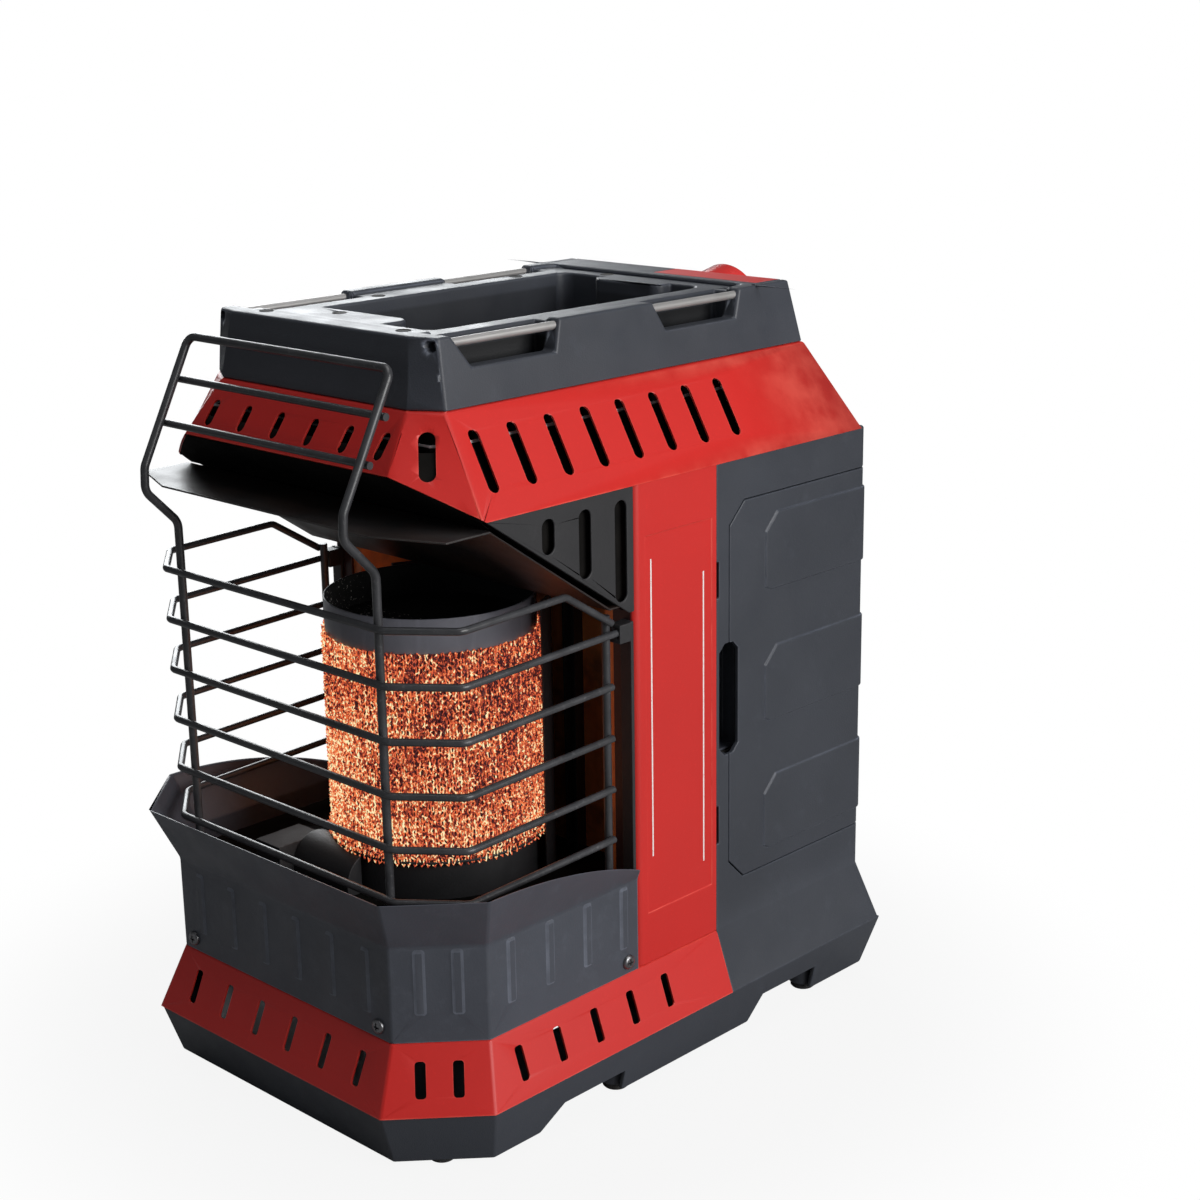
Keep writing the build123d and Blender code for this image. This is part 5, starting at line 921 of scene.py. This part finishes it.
class HEATER_OT_sheet_shells(bpy.types.Operator):
    """Pressed and painted sheet pieces with rounded edges"""
    bl_idname = "heater.sheet_shells"
    bl_label = "Sheet pieces"

    def execute(self, context):
        sizes = context.scene.heater_sizes
        fold = {"width": sizes.fold, "segments": 3, "angles": FOLDS}
        for node, name, finish in (
            ("lower_skirt", "skirt_shell", None), ("upper_collar", "collar_shell", None),
            # The collar lining is dead black as painted shade.
            ("collar_liner", "collar_lining", "shade_black"),
        ):
            dress(node, name, finish, span=FOLD_RUN, **fold)
        bowl = merged_copy("burner_bowl", "bowl_shell")
        slope_ribs(bowl)
        finish_as(round_edges(bowl, span=BOWL_RUN, **fold), "charcoal_paint", "burner_bowl")
        for node, name, finish in (
            ("right_strip", "right_strip_cover", "red_striped"),
            ("left_strip", "left_strip_cover", "red_striped"),
            ("deflector", "hood_plate", None), ("right_cheek", "right_cheek_plate", None),
            ("left_cheek", "left_cheek_plate", None), ("control_panel", "rear_panel", None),
            ("right_guard_bracket", "right_guard_clip", None),
            ("left_guard_bracket", "left_guard_clip", None),
            ("burner_cap", "burner_rim", "cap_paint"), ("burner_plenum", "burner_foot", None),
            # The burner room floor is dead black as painted shade.
            ("pilot_hood", "pilot_cowl", None), ("chamber_floor", "burner_room_floor", "shade_black"),
        ):
            span = STRIP_RUN if finish == "red_striped" else SHORT_RUN
            dress(node, name, finish, width=sizes.sheet_edge, span=span)
        return {"FINISHED"}


class HEATER_OT_moulded_shells(bpy.types.Operator):
    """Moulded plastic pieces with rounded edges"""
    bl_idname = "heater.moulded_shells"
    bl_label = "Moulded pieces"

    def execute(self, context):
        sizes = context.scene.heater_sizes
        for node, name, share in (
            ("base_tray", "base_shell", 1.0), ("rear_case", "case_shell", 0.7),
            ("right_door", "right_door_shell", 0.7), ("left_door", "left_door_shell", 0.7),
            ("control_cover", "tray_cover", 0.6), ("control_knob", "knob_shell", 0.7),
        ):
            dress(node, name, width=share * sizes.moulded_edge)
        dress("top_tray", "tray_shell", "tray_plastic", width=sizes.tray_edge, segments=3)
        return {"FINISHED"}


class HEATER_OT_wire_guard(bpy.types.Operator):
    """Bent wire guard: arch, cross wires, hoops and posts"""
    bl_idname = "heater.wire_guard"
    bl_label = "Wire guard"

    def execute(self, context):
        sizes = context.scene.heater_sizes
        growths = {finish: wire_growth(FINISHES[finish]) for finish in WIRE_SIDES}
        arch_bends = [sizes.arch_bend] * 4 + [sizes.arch_top_bend] * 2 + [sizes.arch_bend] * 4
        rod = "bright_wire", ROD_RADIUS * MM
        upright, hoop = (("wire_coating", radius) for radius in (sizes.upright_radius, sizes.hoop_radius))
        for name, node, paths, (finish, radius), bends in (
            ("right_tray_rod", "right_side_rod", [rod_path(1)], rod, [0.0] * 2),
            ("left_tray_rod", "left_side_rod", [rod_path(-1)], rod, [0.0] * 2),
            ("arch_wire", "guard_arch", [arch_path()], upright, arch_bends),
            ("hoop_wires", "guard_hoops", hoop_paths(), hoop, None),
            ("cross_wires", "guard_cross_wires", cross_runs(), hoop, None),
            ("post_wires", "guard_rear_wires", post_runs(), upright, None),
        ):
            verts, edges = [], []
            for path in paths:
                edges += [(len(verts) + i, len(verts) + i + 1) for i in range(len(path) - 1)]
                verts += [[c * MM for c in point] for point in path]
            carrier = new_piece(name, verts, edges)
            bend = carrier.data.attributes.new("bend", "FLOAT", "POINT")
            bend.data.foreach_set("value", bends or [sizes.hoop_bend] * len(verts))
            wires = growths[finish].grow(carrier, Wire_radius=radius, Sides=WIRE_SIDES[finish])
            finish_as(wires, finish, node)
        return {"FINISHED"}


class HEATER_OT_burner_sleeve(bpy.types.Operator):
    """Knitted glowing sleeve of the burner over its dimmer backing"""
    bl_idname = "heater.burner_sleeve"
    bl_label = "Burner sleeve"

    def execute(self, context):
        sizes = context.scene.heater_sizes
        low, height = MESH_BOX[0].z, MESH_BOX[1].z - MESH_BOX[0].z
        knit = knit_growth(FINISHES["glowing_mesh"]).grow(
            new_piece("knit_sleeve", [(0, 0, 0)]), Sleeve_radius=MESH_RADIUS, Sleeve_height=height,
            Courses=sizes.courses, Stitches=sizes.stitches, Yarn_radius=sizes.yarn_radius,
        )
        knit.data.transform(Matrix.Translation((0, BURNER_Y, low)))
        finish_as(knit, "glowing_mesh", "burner_mesh")
        radius = MESH_RADIUS - KNIT_DEPTH
        backing = spun("knit_backing", [(0, 0), (radius, 0), (radius, height), (0, height)], sides=96)
        backing.data.shade_smooth()
        backing.data.set_sharp_from_angle(angle=radians(30))
        backing.data.transform(Matrix.Translation((0, BURNER_Y, low)))
        finish_piece(backing, "glow_backing")
        return {"FINISHED"}


class HEATER_OT_inner_forms(bpy.types.Operator):
    """Heat box under the tray, slot screen and cheek backings in black as painted shade, seals under the
    finger cups and the pilot's cover plate
    """
    bl_idname = "heater.inner_forms"
    bl_label = "Inner forms"

    def execute(self, context):
        edge = context.scene.heater_sizes.sheet_edge
        # The heat box is dead black: painted shade inside the collar.
        heat_box = round_edges(box_form("heat_box", *HEAT_BOX, corner=12), 2 * edge)
        finish_piece(heat_box, "shade_black")
        # Slot screen: near-black painted shade behind the collar's slots, with a painted highlight along its
        # upper edge.
        finish_piece(slot_screen(), "screen_sheet")
        # Plates behind the cheeks' slots, dead black as painted shade.
        for node, inward in (("right_cheek", -CHEEK_GAP), ("left_cheek", CHEEK_GAP)):
            backing = closed_plate(node, node + "_backing", CHEEK_REACH, inward)
            finish_piece(backing, "shade_black")
        (x0, *low), (x1, *high) = CUP_SEAL
        for name, left, right in (("right_cup_seal", x0, x1), ("left_cup_seal", -x1, -x0)):
            seal = round_edges(box_form(name, (left, *low), (right, *high)), edge)
            finish_piece(seal, "pad_rubber")
        plate = round_edges(box_form("pilot_plate", *PILOT_PLATE), edge)
        finish_as(plate, "grey_sheet", "pilot_bracket")
        for node, name, shift in (
            ("thermocouple", "pilot_thermocouple", (13.5, -5, -4)),
            ("igniter_electrode", "pilot_electrode", (14.5, -4, -1)),
        ):
            moved = merged_copy(node, name)
            moved.data.transform(Matrix.Translation(Vector(shift) * MM))
            finish_as(settled(moved, 40.0), SLOT_OF[node], node)
        return {"FINISHED"}


class HEATER_OT_cap_weld(bpy.types.Operator):
    """Ragged weld bead down the end of the cap's band"""
    bl_idname = "heater.cap_weld"
    bl_label = "Cap weld"

    def execute(self, context):
        spots = []
        for i in range(WELD_LUMPS):
            angle = radians(WELD_TURN) + 0.012 * sin(i * 2.3)
            reach = CAP_RADIUS + (0.2 + 0.15 * sin(i * 1.7)) * MM
            z = CAP_BOX[0].z + (WELD_START + WELD_STEP * i) * MM
            out = Vector((cos(angle), sin(angle), 0.25 * sin(i * 3.1)))
            spots.append((Vector((reach * cos(angle), BURNER_Y + reach * sin(angle), z)), out))
        weld = copies_at("cap_weld_bead", "weld_metal", spots, turned_form("weld_form", WELD_LUMP, 7))
        finish_piece(weld, "weld_metal")
        return {"FINISHED"}


class HEATER_OT_screws(bpy.types.Operator):
    """Cross-recess screws of the bowl and black discs over the tray's holes as painted shade"""
    bl_idname = "heater.screws"
    bl_label = "Screws"

    def execute(self, context):
        spots = []
        for side in (1, -1):
            for (x, y, z), out in ((FRONT_SCREW, (0, -1, 0)), (SIDE_SCREW, (side, 0, 0))):
                spots.append((Vector((side * x, y, z)) * MM, Vector(out)))
        # Dark rubber discs over the tray's holes: painted shade.
        hole_shade_spots = [(Vector(spot) * MM, UP) for spot in HOLE_SHADE_SPOTS]
        cups = copies_at("tray_hole_liners", "pad_rubber", hole_shade_spots, turned_form("liner_form", HOLE_SHADE_DISC, 24))
        finish_piece(cups, "pad_rubber")
        screws = copies_at("bowl_screw_heads", "plated_screw", spots, cross_head())
        finish_as(screws, "plated_screw", "bowl_screws")
        return {"FINISHED"}


class HEATER_OT_stage(bpy.types.Operator):
    """Pale floor, soft lamps and the camera"""
    bl_idname = "heater.stage"
    bl_label = "Stage"

    def execute(self, context):
        floor_and_world(context.scene)
        lamps(context.scene)
        camera(context.scene)
        return {"FINISHED"}


def show_to_camera(tree, share, plain, seen, output):
    """Mix two shaders by a share and pass the result on."""
    blend = tree.node("ShaderNodeMixShader", {0: share, 1: plain.outputs[0], 2: seen.outputs[0]})
    tree.node(output, {0: blend.outputs[0]})


def floor_and_world(scene):
    """Grey floor that the camera sees fade to white, under a white world that lights softly."""
    half = FLOOR_HALF
    corners = [(-half, -half, 0), (half, -half, 0), (half, half, 0), (-half, half, 0)]
    floor = new_piece("floor", corners, faces=[(0, 1, 2, 3)])
    material = bpy.data.materials.new("Pale floor")
    material.use_nodes = True
    tree = Tree(material.node_tree)
    place = tree.node("ShaderNodeTexCoord").outputs["Object"]
    length = tree.vector("LENGTH", {0: place}, "Value")
    near, far = FLOOR_FADE
    fade = tree.node("ShaderNodeMapRange", {
        "Value": length, "From Min": near, "From Max": far, "To Min": 0.90, "To Max": 1.0,
    }, interpolation_type="SMOOTHSTEP").outputs[0]
    share = tree.times(fade, tree.node("ShaderNodeLightPath").outputs["Is Camera Ray"])
    grey = tree.node("ShaderNodeBsdfDiffuse", {"Color": tone(FLOOR_GREY)})
    glow = tree.node("ShaderNodeEmission", {"Color": tone(WHITE), "Strength": 1.0})
    show_to_camera(tree, share, grey, glow, "ShaderNodeOutputMaterial")
    floor.data.materials.append(material)

    scene.world = bpy.data.worlds.new("Studio")
    scene.world.use_nodes = True
    tree = Tree(scene.world.node_tree)
    rays = tree.node("ShaderNodeLightPath").outputs
    share = tree.calc("MAXIMUM", rays["Is Camera Ray"], rays["Is Transmission Ray"])
    soft = tree.node("ShaderNodeBackground", {"Color": tone(SKY), "Strength": 0.10})
    seen = tree.node("ShaderNodeBackground", {"Color": tone(WHITE), "Strength": 1.0})
    show_to_camera(tree, share, soft, seen, "ShaderNodeOutputWorld")


def lamps(scene):
    """Square lamps turned to the object, each with its place, size, power and colour."""
    for name, place, size, power, colour in (
        ("key_lamp", (1.75, 0.15, 0.80), 1.1, 32.0, (1.0, 0.99, 0.98)),
        ("back_lamp", (-1.70, 0.95, 0.80), 1.1, 26.0, (0.95, 0.98, 1.0)),
        ("top_lamp", (0.1, 0.1, 1.8), 1.2, 10.0, (1.0, 1.0, 1.0)),
        ("front_lamp", (-0.5, -1.7, 0.7), 1.2, 1.0, (0.95, 0.97, 1.0)),
    ):
        data = bpy.data.lights.new(name, "AREA")
        data.size = size
        data.energy = power
        data.color = colour
        lamp = bpy.data.objects.new(name, data)
        lamp.location = place
        lamp.rotation_euler = (Vector(place) - LAMP_TARGET).to_track_quat("Z", "Y").to_euler()
        scene.collection.objects.link(lamp)


def camera(scene):
    """Camera on its orbit round the target, rolled a little."""
    azimuth, elevation, roll = (radians(angle) for angle in CAMERA_ANGLES)
    back = Vector((sin(azimuth) * cos(elevation), -cos(azimuth) * cos(elevation), sin(elevation)))
    right = (-back).cross(UP).normalized()
    up = right.cross(-back)
    tilted = right * cos(roll) + up * sin(roll)
    upright = up * cos(roll) - right * sin(roll)
    data = bpy.data.cameras.new("studio_camera")
    data.sensor_width = SENSOR
    data.lens = SENSOR * FOCAL_SHARE
    made = bpy.data.objects.new("studio_camera", data)
    turn = Matrix((tilted, upright, back)).transposed()
    made.matrix_world = Matrix.Translation(CAMERA_TARGET + back * CAMERA_DISTANCE) @ turn.to_4x4()
    scene.collection.objects.link(made)
    scene.camera = made
    scene.view_settings.view_transform = "Standard"


class HEATER_PT_panel(bpy.types.Panel):
    """Buttons for every group of pieces"""
    bl_label = "Heater"
    bl_idname = "HEATER_PT_panel"
    bl_space_type = "VIEW_3D"
    bl_region_type = "UI"
    bl_category = "Heater"

    def draw(self, context):
        for group in (context.scene.heater_sizes, context.scene.heater_colours):
            for key in group.__annotations__:
                self.layout.prop(group, key)
        for step in OPERATORS:
            self.layout.operator(step.bl_idname)


OPERATORS = (
    HEATER_OT_stage, HEATER_OT_finishes, HEATER_OT_sheet_shells, HEATER_OT_moulded_shells,
    HEATER_OT_wire_guard, HEATER_OT_burner_sleeve, HEATER_OT_inner_forms, HEATER_OT_cap_weld,
    HEATER_OT_screws,
)
CLASSES = (HeaterSizes, HeaterColours) + OPERATORS + (HEATER_PT_panel,)


def register():
    for item in CLASSES:
        bpy.utils.register_class(item)
    bpy.types.Scene.heater_sizes = PointerProperty(type=HeaterSizes)
    bpy.types.Scene.heater_colours = PointerProperty(type=HeaterColours)


def unregister():
    del bpy.types.Scene.heater_colours
    del bpy.types.Scene.heater_sizes
    for item in reversed(CLASSES):
        bpy.utils.unregister_class(item)


def main():
    register()
    for step in OPERATORS:
        group, action = step.bl_idname.split(".")
        if getattr(getattr(bpy.ops, group), action)() != {"FINISHED"}:
            raise RuntimeError(f"{step.bl_label} did not finish")


if __name__ == "__main__":
    main()
